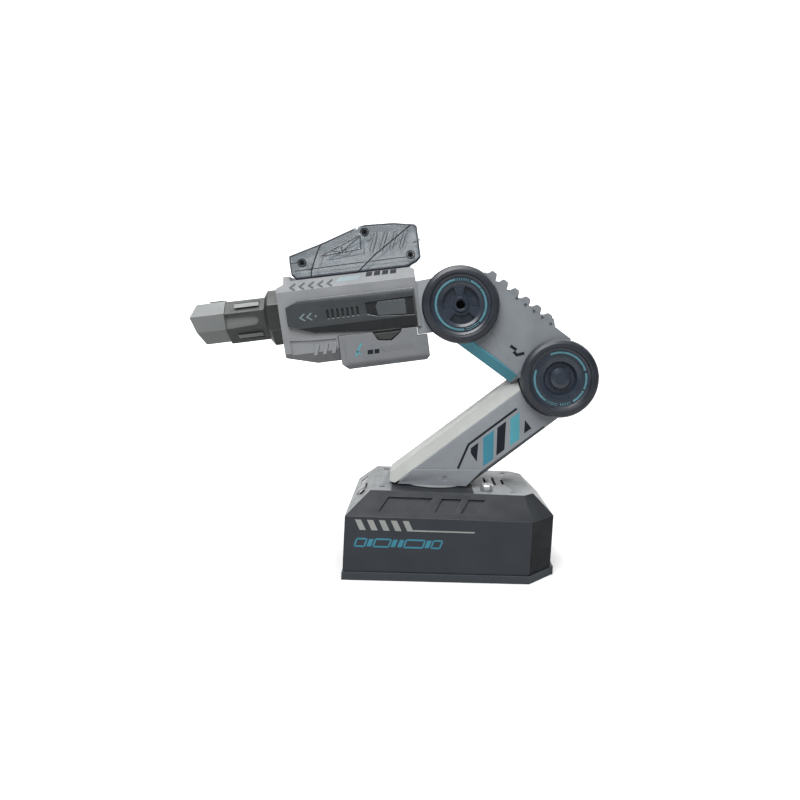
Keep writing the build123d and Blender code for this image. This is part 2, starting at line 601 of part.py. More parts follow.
def make_upper_arm():
    """Mirrored halves of the upper arm and the cyan strips let into their lower bevels."""
    parts = {}
    outer = upper_outline(0, ARM_HALF, 0)
    for i in range(TOOTH_COUNT):
        outer += slab(UPPER, tooth_outline(FIRST_TOOTH + TOOTH_PITCH * i), 0, TOOTH_HALF)
    last = FIRST_TOOTH + TOOTH_PITCH * (TOOTH_COUNT - 1)
    tail = [(last, TOOTH_ROOT), (last, 43.6), (last + 5.5, 43.0), (last + 10.5, 38.0)]
    tail.append((last + 12.5, TOOTH_ROOT))
    outer += slab(UPPER, tail, 0, TOOTH_HALF)
    outer -= bevel_wedge(0)
    hollow = upper_outline(WALL, ARM_HALF - WALL, -1)
    hollow -= drum(UPPER, ARM_LENGTH, 0, ELBOW_CHEEK_R + WALL, -20, CHEEK_GAP + WALL)
    hollow -= drum(UPPER, 0, 0, WRIST_CHEEK_R + WALL, -20, CHEEK_GAP + WALL)
    hollow -= bevel_wedge(4.5)
    shell = outer - hollow
    shell -= drum(UPPER, ARM_LENGTH, 0, ELBOW_CHEEK_R, -20, CHEEK_GAP)
    shell -= drum(UPPER, 0, 0, WRIST_CHEEK_R, -20, CHEEK_GAP)
    for x in (0, ARM_LENGTH):
        shell -= drum(UPPER, x, 0, AXLE_R + RUNNING_GAP, -50, 50)
    for x in DIMPLES:
        shell -= drum(UPPER, x, DIMPLE_V, DIMPLE_R, ARM_HALF - 3.6, 40)
    strip = shell & bevel_wedge(STRIP) & block(UPPER, (STRIP_START, STRIP_END), (-60, 0), (0, 60))
    shell -= strip
    strip -= fold_line(FOLD_GAP + 0.4)
    parts["upper_arm_shell_near"] = shell
    parts["upper_arm_shell_far"] = mirror(shell, about=Plane.XZ)
    parts["accent_strips"] = Compound(both_sides(strip))
    return parts


def joint_rim(x, rim_r, lip_r):
    """Tyre-like outer rim of a round joint cover."""
    front = ARM_HALF + COVER_DEPTH
    tread = [(lip_r, ARM_HALF), (rim_r - 2.4, ARM_HALF), (rim_r, ARM_HALF + 2.6), (rim_r, front - 4.2)]
    shoulder = [(rim_r - 1.4, front - 1.6), (rim_r - 4.2, front - 0.3)]
    lip = [(lip_r + 2.1, front), (lip_r + 0.9, front - 0.4), (lip_r, front - 1.6)]
    return turned(UPPER, x, 0, tread + shoulder + lip)


def dish_profile(lip_r, centre):
    """Outer half of a dish's section, closed by the points round its centre."""
    edge = lip_r - 0.1
    ring_floor = [(edge, ARM_HALF), (edge, DISH_FACE + 0.8), (lip_r - 2.1, DISH_FACE), (21.0, DISH_FACE)]
    return [(centre[-1][0], ARM_HALF)] + ring_floor + centre


def wrist_dish(x, lip_r):
    """Open hub dish with three shallow pockets."""
    dish = turned(UPPER, x, 0, dish_profile(lip_r, [(18.5, DISH_FACE - 1.0), (9.5, DISH_FACE - 1.6),
                                                    (7.6, DISH_FACE - 1.6)]))
    for start in (30, 150, 270):
        dish -= pocket_sector(x, 10.0, 17.6, start, 84, DISH_FACE - 4.2, DISH_FACE + 2)
    return dish


def elbow_dish(x, lip_r):
    """Deep bowl dish."""
    return turned(UPPER, x, 0, dish_profile(lip_r, [(16.6, DISH_FACE - 0.8), (14.6, DISH_FACE - 4.6),
                                                    (4.2, DISH_FACE - 4.6)]))


def pocket_sector(x, r_in, r_out, start, sweep, low, high):
    """Ring sector used as a pocket cutter."""
    steps = 8
    angles = [math.radians(start + sweep * i / steps) for i in range(steps + 1)]
    outer = [(x + r_out * math.cos(a), r_out * math.sin(a)) for a in angles]
    inner = [(x + r_in * math.cos(a), r_in * math.sin(a)) for a in reversed(angles)]
    return slab(UPPER, outer + inner, low, high)


def joint_ring(x, ring_r):
    """Thin light ring on the dish."""
    inner = ring_r - RING_WIDTH
    top = DISH_FACE + RING_PROUD
    return turned(UPPER, x, 0, [(inner, DISH_FACE), (ring_r, DISH_FACE), (ring_r, top), (inner, top)])


def wrist_cap(x):
    """Hub tube round the open axle hole."""
    outside = [(4.4, ARM_HALF), (7.5, ARM_HALF), (7.5, DISH_FACE - 0.6)]
    mouth = [(6.8, DISH_FACE + 0.2), (5.2, DISH_FACE + 0.2), (4.4, DISH_FACE - 0.6)]
    return turned(UPPER, x, 0, outside + mouth)


def elbow_cap(x):
    """Domed hub button."""
    return turned(UPPER, x, 0, [(0, DISH_FACE - 4.6), (10.4, DISH_FACE - 4.6), (10.4, DISH_FACE - 1.6),
                                (9.4, DISH_FACE - 0.4), (6.0, DISH_FACE + 0.5), (0, DISH_FACE + 0.5)])


def make_joint_covers():
    """Axles and the round covers over both joints, one piece of each kind on either side."""
    parts = {}
    near = {
        "wrist_rims": joint_rim(0, WRIST_RIM_R, WRIST_LIP_R),
        "elbow_rims": joint_rim(ARM_LENGTH, ELBOW_RIM_R, ELBOW_LIP_R),
        "wrist_dishes": wrist_dish(0, WRIST_LIP_R),
        "elbow_dishes": elbow_dish(ARM_LENGTH, ELBOW_LIP_R),
        "wrist_rings": joint_ring(0, WRIST_RING_R),
        "elbow_rings": joint_ring(ARM_LENGTH, ELBOW_RING_R),
        "wrist_caps": wrist_cap(0),
        "elbow_caps": elbow_cap(ARM_LENGTH),
    }
    for name, solid in near.items():
        parts[name] = Compound(both_sides(solid))
    parts["wrist_axle"] = drum(UPPER, 0, 0, AXLE_R, -WRIST_AXLE_HALF, WRIST_AXLE_HALF)
    parts["elbow_axle"] = drum(UPPER, ARM_LENGTH, 0, AXLE_R, -ELBOW_AXLE_HALF, ELBOW_AXLE_HALF)
    return parts


# ------------------------------------------------------------------ head
BODY_FLOOR = -15.2
BODY = [
    (BODY_REAR, 39.2), (44.0, BODY_TOP), (155.5, BODY_TOP), (157.0, 46.0), (162.0, 46.0), (162.0, 38.5),
    (BODY_FRONT, 35.5), (BODY_FRONT, -30.0), (141.0, -38.3), (118.2, -38.4), (118.2, BODY_FLOOR),
    (BODY_REAR, BODY_FLOOR),
]
BODY_INSIDE = [
    (BODY_REAR + WALL, 28.5), (BODY_FRONT - WALL, 28.5), (BODY_FRONT - WALL, -28.0), (140.5, -35.8),
    (120.6, -36.0), (120.6, -12.8), (BODY_REAR + WALL, -12.8),
]
BODY_RANGE = (20.0, 190.0)
TOP_BEVEL = [(31.0, 30.1), (60.0, 30.1), (60.0, 7.7)]
LOW_BEVEL = [(-26.0, 30.1), (-50.0, 30.1), (-50.0, 12.1)]
LOW_BEVEL_INSIDE = [(-23.0, 30.1), (-50.0, 30.1), (-50.0, 9.6)]
JAW_RECESS = [(139.5, -16.5), (162.3, -14.5), (161.9, -29.0), (144.5, -33.0), (120.0, -33.5), (120.0, -17.0)]
JAW_RECESS_DEPTH = 1.2
JAW_RIBS = [142.5, 134.1, 125.7]
SIDE_PANEL = [
    (42.0, 21.6), (149.0, 22.0), (161.4, 16.3), (161.5, -1.2), (138.0, -9.7), (85.0, -14.4), (42.3, -15.0),
]
PANEL_LOW_BEVEL = [(-4.2, -33.6), (-20.0, -33.6), (-20.0, -29.2)]
PANEL_TOP_BEVEL = [(17.5, -33.6), (30.0, -33.6), (30.0, -30.2)]
PANEL_BAY = [(43.5, 13.6), (88.6, 12.8), (88.0, 1.8), (80.0, -0.9), (43.5, -4.0)]
PANEL_BAY_DEPTH = 1.5
PANEL_INSERT = [(51.3, 12.0), (77.0, 12.2), (79.4, 8.0), (78.0, -0.6), (51.3, -2.2)]
PANEL_INSERT_DEPTH = 0.6
PANEL_SLATS = 7
SLAT_START = 95.0
SLAT_PITCH = 4.6
SLAT_DEPTH = 1.1

# Wrist yoke: shoulder that carries the body, and the tongue between the upper arm's cheeks
YOKE_SHOULDER = [
    (18.0, -22.8), (43.4, -22.8), (43.4, -15.3), (BODY_REAR, -15.3), (BODY_REAR, 27.0), (18.0, 28.5),
]
TONGUE = [(0, -22.8), (38.0, -22.8), (38.0, 27.0), (0, 27.0)]
TONGUE_INSIDE = [(0, -20.4), (50.0, -20.4), (50.0, 24.6), (0, 24.6)]
TONGUE_R = 27.0
TONGUE_REACH = 38.6

# Launcher and barrel
GEARBOX = ((62.0, 128.0), (-11.0, 27.0), (-13.0, 13.0))
GEARBOX_NOSE = (127.0, 167.0, 11.0)
DRIVE_CAN = (46.0, 62.0, 11.5)
BORE_R = 5.0
FEED_U = 120.0
FEED_R = 7.0
FEED_BORE_R = 5.5
FEED_LOW = 27.1
FEED_HIGH = 41.1
COLLAR_BACK = (26.2, 24.0, 12.0, 10.0)
COLLAR_FRONT = (20.4, 20.5, 8.5, 8.5)
COLLAR_V = 9.4
COLLAR_STEP = 179.8
COLLAR_END = 184.0
SHROUD = (20.0, 20.5, 8.0, 8.5)
SHROUD_BORE = (17.2, 17.8, 7.0, 7.4)
SHROUD_END = 220.5
SHROUD_FORK = [(194.5, 4.8), (222.0, 3.6), (222.0, 16.4), (194.5, 15.2)]
FORK_END = (194.9, 10.0, 5.2)
SHROUD_SLOTS = [(188.5, 211.5, 25.2, 2.0), (188.5, 211.5, -5.2, 1.7)]
MUZZLE_CORE = (16.9, 17.5, 6.9, 7.3)
MUZZLE_BLOCK = (19.2, 20.0, 7.5, 8.0)
MUZZLE_V = 11.2
MUZZLE_NOSE = [(221.0, 40.0), (246.9, 33.0), (252.4, 18.4), (243.8, -10.0), (221.0, -20.0)]
MUZZLE_SIGHT = ((223.0, 236.0), (29.0, 31.8), (-5.5, 5.5))
MOUTH_R = 8.5

# Pellet hopper and its lid
HOPPER_FLOOR = BODY_TOP + 0.1
HOPPER = [
    (153.4, 64.3), (154.0, 58.2), (153.8, 46.4), (149.9, HOPPER_FLOOR), (45.1, HOPPER_FLOOR), (35.5, 45.3),
    (31.2, 49.4), (31.2, 78.4), (33.0, 80.6), (53.2, 84.1), (79.1, 85.2), (87.0, 84.0), (122.3, 72.6),
]
HOPPER_INSIDE = [
    (151.4, 63.2), (152.0, 58.0), (151.8, 47.2), (149.0, 43.2), (46.0, 43.2), (36.7, 46.5), (33.2, 50.2),
    (33.2, 77.6), (34.2, 78.8), (53.4, 82.0), (79.0, 83.0), (86.6, 81.8), (121.8, 70.6),
]
LID_JOINT = (86.6, 83.0)
LID_REAR_V = 64.7
LID_REGION = [
    (20.0, LID_REAR_V), (33.2, LID_REAR_V), (33.2, 77.6), (34.2, 78.8), (53.4, 82.0), (79.0, 83.0),
    (LID_JOINT[0], 81.8), (LID_JOINT[0], 95.0), (20.0, 95.0),
]
LID_TAB = ((29.6, 31.4), (66.0, 69.0), (-5.0, 5.0))
HINGE_PIN_R = 0.7
HINGE_R = 1.5
HINGE_MIDDLE = 6.0
HINGE_END = 9.0
BOSSES = [(142.4, 56.8), (80.7, 78.6), (40.6, 52.9)]
BOSS_R = 3.4
BOSS_SCREW_R = 2.6
BOSS_SCREW_DEPTH = 2.4

# Battery module and its catch
MODULE_TOP = BODY_FLOOR - 0.4
MODULE = [
    (34.5, -24.0), (44.0, -24.0), (44.0, MODULE_TOP), (117.4, MODULE_TOP), (117.4, -42.0), (112.0, -47.5),
    (38.0, -47.5), (34.5, -44.0),
]
MODULE_LOW_BEVEL = [(-43.0, 33.1), (-60.0, 33.1), (-60.0, 16.1)]
MODULE_INSIDE = ((46.5, 114.6), (-44.8, -19.4), (-25.0, 25.0))
FINGER_NOTCH = [(88.0, -10.0), (85.4, -16.0), (81.3, -23.9), (68.8, -25.5), (58.9, -18.6), (56.0, -10.0)]
NOTCH_DEPTH = 6.0
TAB = [(84.0, -17.2), (80.4, -23.0), (69.4, -24.4), (60.8, -18.6), (60.2, -17.2)]


def octagon(size, centre):
    """Octagon in (v, y) round a centre height; size is (half v, half y, flat v, flat y)."""
    half_v, half_y, flat_v, flat_y = size
    right = [(half_v, -flat_y), (half_v, flat_y), (flat_v, half_y), (-flat_v, half_y)]
    left = [(-half_v, flat_y), (-half_v, -flat_y), (-flat_v, -half_y), (flat_v, -half_y)]
    return [(centre + v, y) for v, y in right + left]


def barrel_section(u):
    """Frame across the barrel at a distance u: its x is the head's v and its y is world Y."""
    origin = HEAD.from_local_coords(Vector(u, 0, 0))
    return Plane(origin=origin, x_dir=HEAD.y_dir, z_dir=HEAD.x_dir)


def barrel_prism(points, start, end):
    """Prism along u from (v, y) points."""
    return slab(barrel_section(start), points, 0, end - start)


def barrel_rod(start, end, v, radius):
    """Cylinder along u at a height v."""
    return drum(barrel_section(start), v, 0, radius, 0, end - start)


def head_post(low, high, radius):
    """Cylinder along v over the feed opening."""
    return HEAD.location * Pos(FEED_U, (low + high) / 2, 0) * Rot(90, 0, 0) * Cylinder(radius, high - low)


def make_head_body():
    """Two halves of the head shell and the dark side panels."""
    parts = {}
    body = slab(HEAD, BODY, -BODY_HALF, BODY_HALF)
    for bevel in (TOP_BEVEL, LOW_BEVEL):
        for cutter in both_sides(barrel_prism(bevel, *BODY_RANGE)):
            body -= cutter
    inside = slab(HEAD, BODY_INSIDE, -BODY_HALF + WALL, BODY_HALF - WALL)
    inside += block(HEAD, (44, 153), (20, BODY_TOP - WALL), (-16, 16))
    for cutter in both_sides(barrel_prism(LOW_BEVEL_INSIDE, *BODY_RANGE)):
        inside -= cutter
    body -= inside
    body -= block(HEAD, (BODY_REAR - 1, BODY_REAR + 5), (-12.6, 22), (-13, 13))
    for cutter in both_sides(slab(HEAD, JAW_RECESS, -BODY_HALF - 1, -BODY_HALF + JAW_RECESS_DEPTH)):
        body -= cutter
    for foot in JAW_RIBS:
        outline = [(foot, -30.2), (foot - 3.2, -30.6), (foot - 6.6, -20.8), (foot - 3.4, -20.6)]
        for rib in both_sides(slab(HEAD, outline, -BODY_HALF + 0.1, -BODY_HALF + JAW_RECESS_DEPTH + 0.2)):
            body += rib
    body -= head_post(30, 50, FEED_R + 0.1)
    body -= barrel_prism(octagon((14.0, 14.0, 8.0, 8.0), BARREL_V), BODY_FRONT - 5, BODY_FRONT + 5)
    near_half = block(HEAD, (0, 300), (-100, 100), (-60, 0))
    parts["head_shell_near"] = body & near_half
    parts["head_shell_far"] = body - near_half

    face = -BODY_HALF - PANEL_PROUD
    panel = slab(HEAD, SIDE_PANEL, face, -BODY_HALF)
    panel -= barrel_prism(PANEL_LOW_BEVEL, *BODY_RANGE)
    panel -= barrel_prism(PANEL_TOP_BEVEL, *BODY_RANGE)
    panel -= slab(HEAD, PANEL_BAY, face - 6, face + PANEL_BAY_DEPTH)
    panel += slab(HEAD, PANEL_INSERT, face + PANEL_INSERT_DEPTH, face + 2.5)
    for i in range(PANEL_SLATS):
        start = SLAT_START + SLAT_PITCH * i
        panel -= block(HEAD, (start, start + 2.4), (1.8, 10.4), (face - 6, face + SLAT_DEPTH))
    parts["side_panel_near"] = panel
    parts["side_panel_far"] = mirror(panel, about=Plane.XZ)
    return parts


def make_wrist_drive():
    """Yoke between head and upper arm, with its motor, gears and bushes."""
    parts = {}
    tongue = slab(HEAD, TONGUE, -TONGUE_HALF, TONGUE_HALF)
    tongue += drum(HEAD, 0, 0, TONGUE_R, -TONGUE_HALF, TONGUE_HALF)
    tongue &= drum(HEAD, 0, 0, TONGUE_REACH, -TONGUE_HALF, TONGUE_HALF)
    core_half = TONGUE_HALF - WALL
    core = drum(HEAD, 0, 0, TONGUE_R - WALL, -core_half, core_half)
    core += slab(HEAD, TONGUE_INSIDE, -core_half, core_half)
    core -= block(HEAD, (30, 60), (-40, -12.6), (-40, 40))
    shoulder = slab(HEAD, YOKE_SHOULDER, -LOWER_HALF, LOWER_HALF)
    shoulder -= drum(HEAD, 0, 0, WRIST_R + 1.2, -40, 40)
    parts["wrist_yoke"] = shoulder + tongue - core - drum(HEAD, 0, 0, BUSH_R, -40, 40)
    parts["wrist_motor"] = drive_motor(HEAD, DRIVE_DISTANCE, 0)
    phase = 180 + 180.0 / PINION_TEETH
    parts["wrist_pinion"] = drive_gear(HEAD, DRIVE_DISTANCE, 0, PINION_TEETH, phase, SHAFT_R)
    parts["wrist_gear"] = drive_gear(HEAD, 0, 0, JOINT_TEETH, 0, AXLE_R)
    parts["wrist_bushes"] = joint_bushes(HEAD)
    return parts


def make_launcher():
    """Gearbox, feed tube, collar, forked shroud and muzzle."""
    parts = {}
    gearbox = block(HEAD, *GEARBOX)
    gearbox += barrel_rod(GEARBOX_NOSE[0], GEARBOX_NOSE[1], BARREL_V, GEARBOX_NOSE[2])
    gearbox += barrel_rod(DRIVE_CAN[0], DRIVE_CAN[1], BARREL_V, DRIVE_CAN[2])
    gearbox -= barrel_rod(FEED_U, 180.0, BARREL_V, BORE_R)
    gearbox -= head_post(8.0, 48.0, FEED_BORE_R)
    parts["launcher_gearbox"] = gearbox
    tube = head_post(FEED_LOW, FEED_HIGH, FEED_R)
    parts["feed_tube"] = tube - head_post(FEED_LOW - 3, FEED_HIGH + 3, FEED_BORE_R)

    back = octagon(COLLAR_BACK, COLLAR_V)
    collar = barrel_prism(back, BODY_FRONT, COLLAR_STEP)
    taper_back = barrel_section(COLLAR_STEP).location * make_face(Polyline(*back, close=True))
    front = octagon(COLLAR_FRONT, BARREL_V)
    taper_front = barrel_section(COLLAR_END).location * make_face(Polyline(*front, close=True))
    collar += loft([taper_back, taper_front], ruled=True)
    collar -= barrel_rod(BODY_FRONT - 10, COLLAR_END + 10, BARREL_V, BORE_R + 0.6)
    parts["barrel_collar"] = collar

    shroud = barrel_prism(octagon(SHROUD, BARREL_V), COLLAR_END, SHROUD_END)
    shroud -= barrel_prism(octagon(SHROUD_BORE, BARREL_V), COLLAR_END - 1, SHROUD_END + 2)
    shroud -= slab(HEAD, SHROUD_FORK, -40, 40)
    shroud -= drum(HEAD, FORK_END[0], FORK_END[1], FORK_END[2], -40, 40)
    for start, end, v, half in SHROUD_SLOTS:
        outline = [(start, v - half), (end, v - half), (end, v + half), (start, v + half)]
        for slot in both_sides(slab(HEAD, outline, -40, -8.6)):
            shroud -= slot
    parts["barrel_shroud"] = shroud

    muzzle = barrel_prism(octagon(MUZZLE_CORE, BARREL_V), COLLAR_END, 223.0)
    nose = barrel_prism(octagon(MUZZLE_BLOCK, MUZZLE_V), SHROUD_END + 0.5, 256.0)
    muzzle += nose & slab(HEAD, MUZZLE_NOSE, -40, 40)
    muzzle += block(HEAD, *MUZZLE_SIGHT)
    muzzle -= barrel_rod(175.0, 265.0, MUZZLE_V - 0.2, BORE_R)
    muzzle -= barrel_rod(235.0, 265.0, MUZZLE_V + 0.3, MOUTH_R)
    parts["muzzle"] = muzzle
    return parts


def make_hopper():
    """Clear hopper, its lid on a pin hinge, and the screws that hold it together."""
    parts = {}
    u, v = LID_JOINT
    region = slab(HEAD, LID_REGION, -30, 30)
    solid = slab(HEAD, HOPPER, -HOPPER_HALF, HOPPER_HALF)
    lid = solid & region
    lid -= block(HEAD, (u - 0.5, 100), (70, 95), (-30, 30))
    lid -= drum(HEAD, u, v, HINGE_R + 0.3, -HINGE_END - 0.3, HINGE_END + 0.3)
    knuckle = drum(HEAD, u, v, HINGE_R, -HINGE_MIDDLE, HINGE_MIDDLE)
    arm = block(HEAD, (u - 3.5, u), (v - 0.6, v + 0.6), (-HINGE_MIDDLE, HINGE_MIDDLE))
    lid += knuckle + arm
    lid -= drum(HEAD, u, v, HINGE_PIN_R + RUNNING_GAP, -HINGE_MIDDLE - 1, HINGE_MIDDLE + 1)
    parts["hopper_lid"] = lid + block(HEAD, *LID_TAB)

    inside_half = HOPPER_HALF - HOPPER_WALL
    hopper = solid - slab(HEAD, HOPPER_INSIDE, -inside_half, inside_half) - region
    hopper -= drum(HEAD, u, v, HINGE_R + 0.3, -HOPPER_HALF - 1, HOPPER_HALF + 1)
    gap_half = HINGE_MIDDLE + 0.3
    for low, high in ((gap_half, HINGE_END), (-HINGE_END, -gap_half)):
        hopper += drum(HEAD, u, v, HINGE_R, low, high)
        hopper += block(HEAD, (u, u + 3.0), (v - 0.6, v + 0.6), (low, high))
    hopper += drum(HEAD, u, v, HINGE_PIN_R, -HINGE_END, HINGE_END)
    for boss_u, boss_v in BOSSES:
        hopper += drum(HEAD, boss_u, boss_v, BOSS_R, -HOPPER_HALF + 0.6, HOPPER_HALF - 0.6)
        well_end = -HOPPER_HALF + BOSS_SCREW_DEPTH
        well = drum(HEAD, boss_u, boss_v, BOSS_SCREW_R + 0.1, -HOPPER_HALF - 1, well_end)
        for counterbore in both_sides(well):
            hopper -= counterbore
        hopper -= drum(HEAD, boss_u, boss_v, 1.2, -HOPPER_HALF - 1, HOPPER_HALF + 1)
    hopper -= head_post(39.0, 47.0, FEED_BORE_R + 0.1)
    parts["hopper_shell"] = hopper
    screws = []
    for boss_u, boss_v in BOSSES:
        screw = drum(HEAD, boss_u, boss_v, BOSS_SCREW_R, -HOPPER_HALF, -HOPPER_HALF + BOSS_SCREW_DEPTH)
        screw += drum(HEAD, boss_u, boss_v, 1.1, -HOPPER_HALF, 6)
        for half_u, half_v in ((1.5, 0.3), (0.3, 1.5)):
            arm_u = (boss_u - half_u, boss_u + half_u)
            arm_v = (boss_v - half_v, boss_v + half_v)
            screw -= block(HEAD, arm_u, arm_v, (-HOPPER_HALF - 0.1, -HOPPER_HALF + 0.7))
        screws.append(screw)
    parts["hopper_screws"] = Compound(screws)
    return parts


def make_battery_module():
    """Clip-on battery box under the head, with the sprung catch in its finger notch."""
    parts = {}
    module = slab(HEAD, MODULE, -MODULE_HALF, MODULE_HALF)
    for cutter in both_sides(barrel_prism(MODULE_LOW_BEVEL, *BODY_RANGE)):
        module -= cutter
    module -= block(HEAD, *MODULE_INSIDE)
    for notch in both_sides(slab(HEAD, FINGER_NOTCH, -MODULE_HALF - 1, -MODULE_HALF + NOTCH_DEPTH)):
        module -= notch
    parts["battery_module"] = module
    parts["release_tab"] = slab(HEAD, TAB, -MODULE_HALF + 1.6, -MODULE_HALF + 4.0)
    return parts


# ------------------------------------------------------------------ write every piece
GROUPS = (
    make_base_shell, make_base_plate, make_base_insides, make_base_controls, make_lower_arm, make_upper_arm,
    make_joint_covers, make_head_body, make_wrist_drive, make_launcher, make_hopper, make_battery_module,
)
os.makedirs("parts", exist_ok=True)
pieces = {}
for group in GROUPS:
    pieces.update(group())
for name, shape in pieces.items():
    export_step(shape, "parts/" + name + ".step")
print(len(pieces), "pieces written")
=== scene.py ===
import json
import math

import bmesh
import bpy
from mathutils import Euler, Matrix, Vector

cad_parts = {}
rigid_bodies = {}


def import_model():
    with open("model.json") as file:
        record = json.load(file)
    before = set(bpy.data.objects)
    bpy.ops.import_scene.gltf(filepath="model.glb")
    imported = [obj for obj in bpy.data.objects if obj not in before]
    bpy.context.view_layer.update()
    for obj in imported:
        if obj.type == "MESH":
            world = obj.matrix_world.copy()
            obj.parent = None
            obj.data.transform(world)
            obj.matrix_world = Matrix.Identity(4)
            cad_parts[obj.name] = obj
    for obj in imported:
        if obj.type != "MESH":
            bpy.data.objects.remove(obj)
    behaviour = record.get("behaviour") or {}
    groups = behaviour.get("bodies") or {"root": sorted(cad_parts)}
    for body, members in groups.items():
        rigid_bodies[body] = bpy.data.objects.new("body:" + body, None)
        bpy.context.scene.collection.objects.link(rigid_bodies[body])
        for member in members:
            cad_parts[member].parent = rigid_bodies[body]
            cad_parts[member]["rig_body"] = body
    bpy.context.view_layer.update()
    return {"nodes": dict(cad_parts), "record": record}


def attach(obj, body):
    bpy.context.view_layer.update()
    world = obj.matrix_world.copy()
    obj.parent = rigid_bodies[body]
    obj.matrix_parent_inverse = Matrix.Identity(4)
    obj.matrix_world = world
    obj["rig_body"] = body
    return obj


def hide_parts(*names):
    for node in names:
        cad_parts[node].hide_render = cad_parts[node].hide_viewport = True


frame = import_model()

# ------------------------------------------------------------------ places (millimetres, scaled by MM)
MM = 0.001
WRIST = Vector((-2.5, 0.0, 255.0)) * MM
ELBOW = Vector((97.0, 0.0, 190.5)) * MM
ARM_LENGTH = (ELBOW - WRIST).length / MM
HEAD_TILT = math.radians(10.5)
LOWER_ANGLE = math.radians(39.7)
SIDES = (-1, 1)

FORWARD = Vector((-math.cos(HEAD_TILT), 0.0, -math.sin(HEAD_TILT)))
HEAD_UP = Vector((-math.sin(HEAD_TILT), 0.0, math.cos(HEAD_TILT)))
ALONG_UPPER = (ELBOW - WRIST).normalized()
UPPER_UP = Vector((-ALONG_UPPER.z, 0.0, ALONG_UPPER.x))
ALONG_LOWER = Vector((math.cos(LOWER_ANGLE), 0.0, math.sin(LOWER_ANGLE)))
LOWER_UP = Vector((-ALONG_LOWER.z, 0.0, ALONG_LOWER.x))


def plane_at(origin, x_axis, y_axis, z_axis):
    """Matrix whose columns are the three axes and the origin."""
    columns = [x_axis.to_4d(), y_axis.to_4d(), z_axis.to_4d(), origin.to_4d()]
    for column, w in zip(columns, (0, 0, 0, 1)):
        column.w = w
    return Matrix(columns).transposed()


def side_plane(origin, x_axis, y_axis, side):
    """Plane of a part's flank; z points out of the near (-1) or far (+1) side."""
    return plane_at(origin, x_axis, y_axis, Vector((0.0, side, 0.0)))


def head_side(side):
    return side_plane(WRIST, FORWARD, HEAD_UP, side)


def upper_side(side):
    return side_plane(WRIST, ALONG_UPPER, UPPER_UP, side)


def world_side(side):
    return side_plane(Vector((0, 0, 0)), Vector((1, 0, 0)), Vector((0, 0, 1)), side)


# ------------------------------------------------------------------ materials
def linear(value):
    """One sRGB channel, 0 to 255, as a linear value."""
    value /= 255.0
    return value / 12.92 if value <= 0.04045 else ((value + 0.055) / 1.055) ** 2.4


def rgb(red, green, blue):
    return (linear(red), linear(green), linear(blue), 1.0)


def scaled(colour, factor):
    return tuple(min(1.0, c * factor) for c in colour[:3]) + (1.0,)


class Graph:
    """Short names for building a node tree."""

    def __init__(self, name):
        self.material = bpy.data.materials.new(name)
        self.material.use_nodes = True
        self.nodes = self.material.node_tree.nodes
        self.links = self.material.node_tree.links
        self.shader = self.nodes["Principled BSDF"]

    def add(self, kind, **values):
        node = self.nodes.new(kind)
        for key, value in values.items():
            if key in node.inputs.keys():
                node.inputs[key].default_value = value
            else:
                setattr(node, key, value)
        return node

    def join(self, out, target):
        self.links.new(out, target)

    def noise(self, scale, detail=3.0, stretch=None, roughness=0.55):
        """Noise in object space, in metres, with an optional stretch per axis."""
        coordinates = self.add("ShaderNodeTexCoord")
        source = coordinates.outputs["Object"]
        if stretch:
            mapping = self.add("ShaderNodeMapping")
            mapping.inputs["Scale"].default_value = stretch
            self.join(source, mapping.inputs["Vector"])
            source = mapping.outputs["Vector"]
        texture = self.add("ShaderNodeTexNoise", Scale=scale, Detail=detail, Roughness=roughness)
        self.join(source, texture.inputs["Vector"])
        return texture.outputs["Fac"]

    def remap(self, source, low, high, to_low, to_high):
        node = self.add("ShaderNodeMapRange")
        node.inputs["From Min"].default_value = low
        node.inputs["From Max"].default_value = high
        node.inputs["To Min"].default_value = to_low
        node.inputs["To Max"].default_value = to_high
        self.join(source, node.inputs["Value"])
        return node.outputs["Result"]

    def mix(self, factor, first, second):
        node = self.add("ShaderNodeMix", data_type="RGBA")
        self.join(factor, node.inputs["Factor"])
        for socket, value in ((node.inputs[6], first), (node.inputs[7], second)):
            if isinstance(value, tuple):
                socket.default_value = value
            else:
                self.join(value, socket)
        return node.outputs[2]

    def multiply(self, first, second):
        node = self.add("ShaderNodeMath", operation="MULTIPLY")
        self.join(first, node.inputs[0])
        self.join(second, node.inputs[1])
        return node.outputs[0]

    def bump(self, height, strength, distance, under=None):
        node = self.add("ShaderNodeBump", Strength=strength, Distance=distance)
        self.join(height, node.inputs["Height"])
        if under is not None:
            self.join(under, node.inputs["Normal"])
        return node.outputs["Normal"]


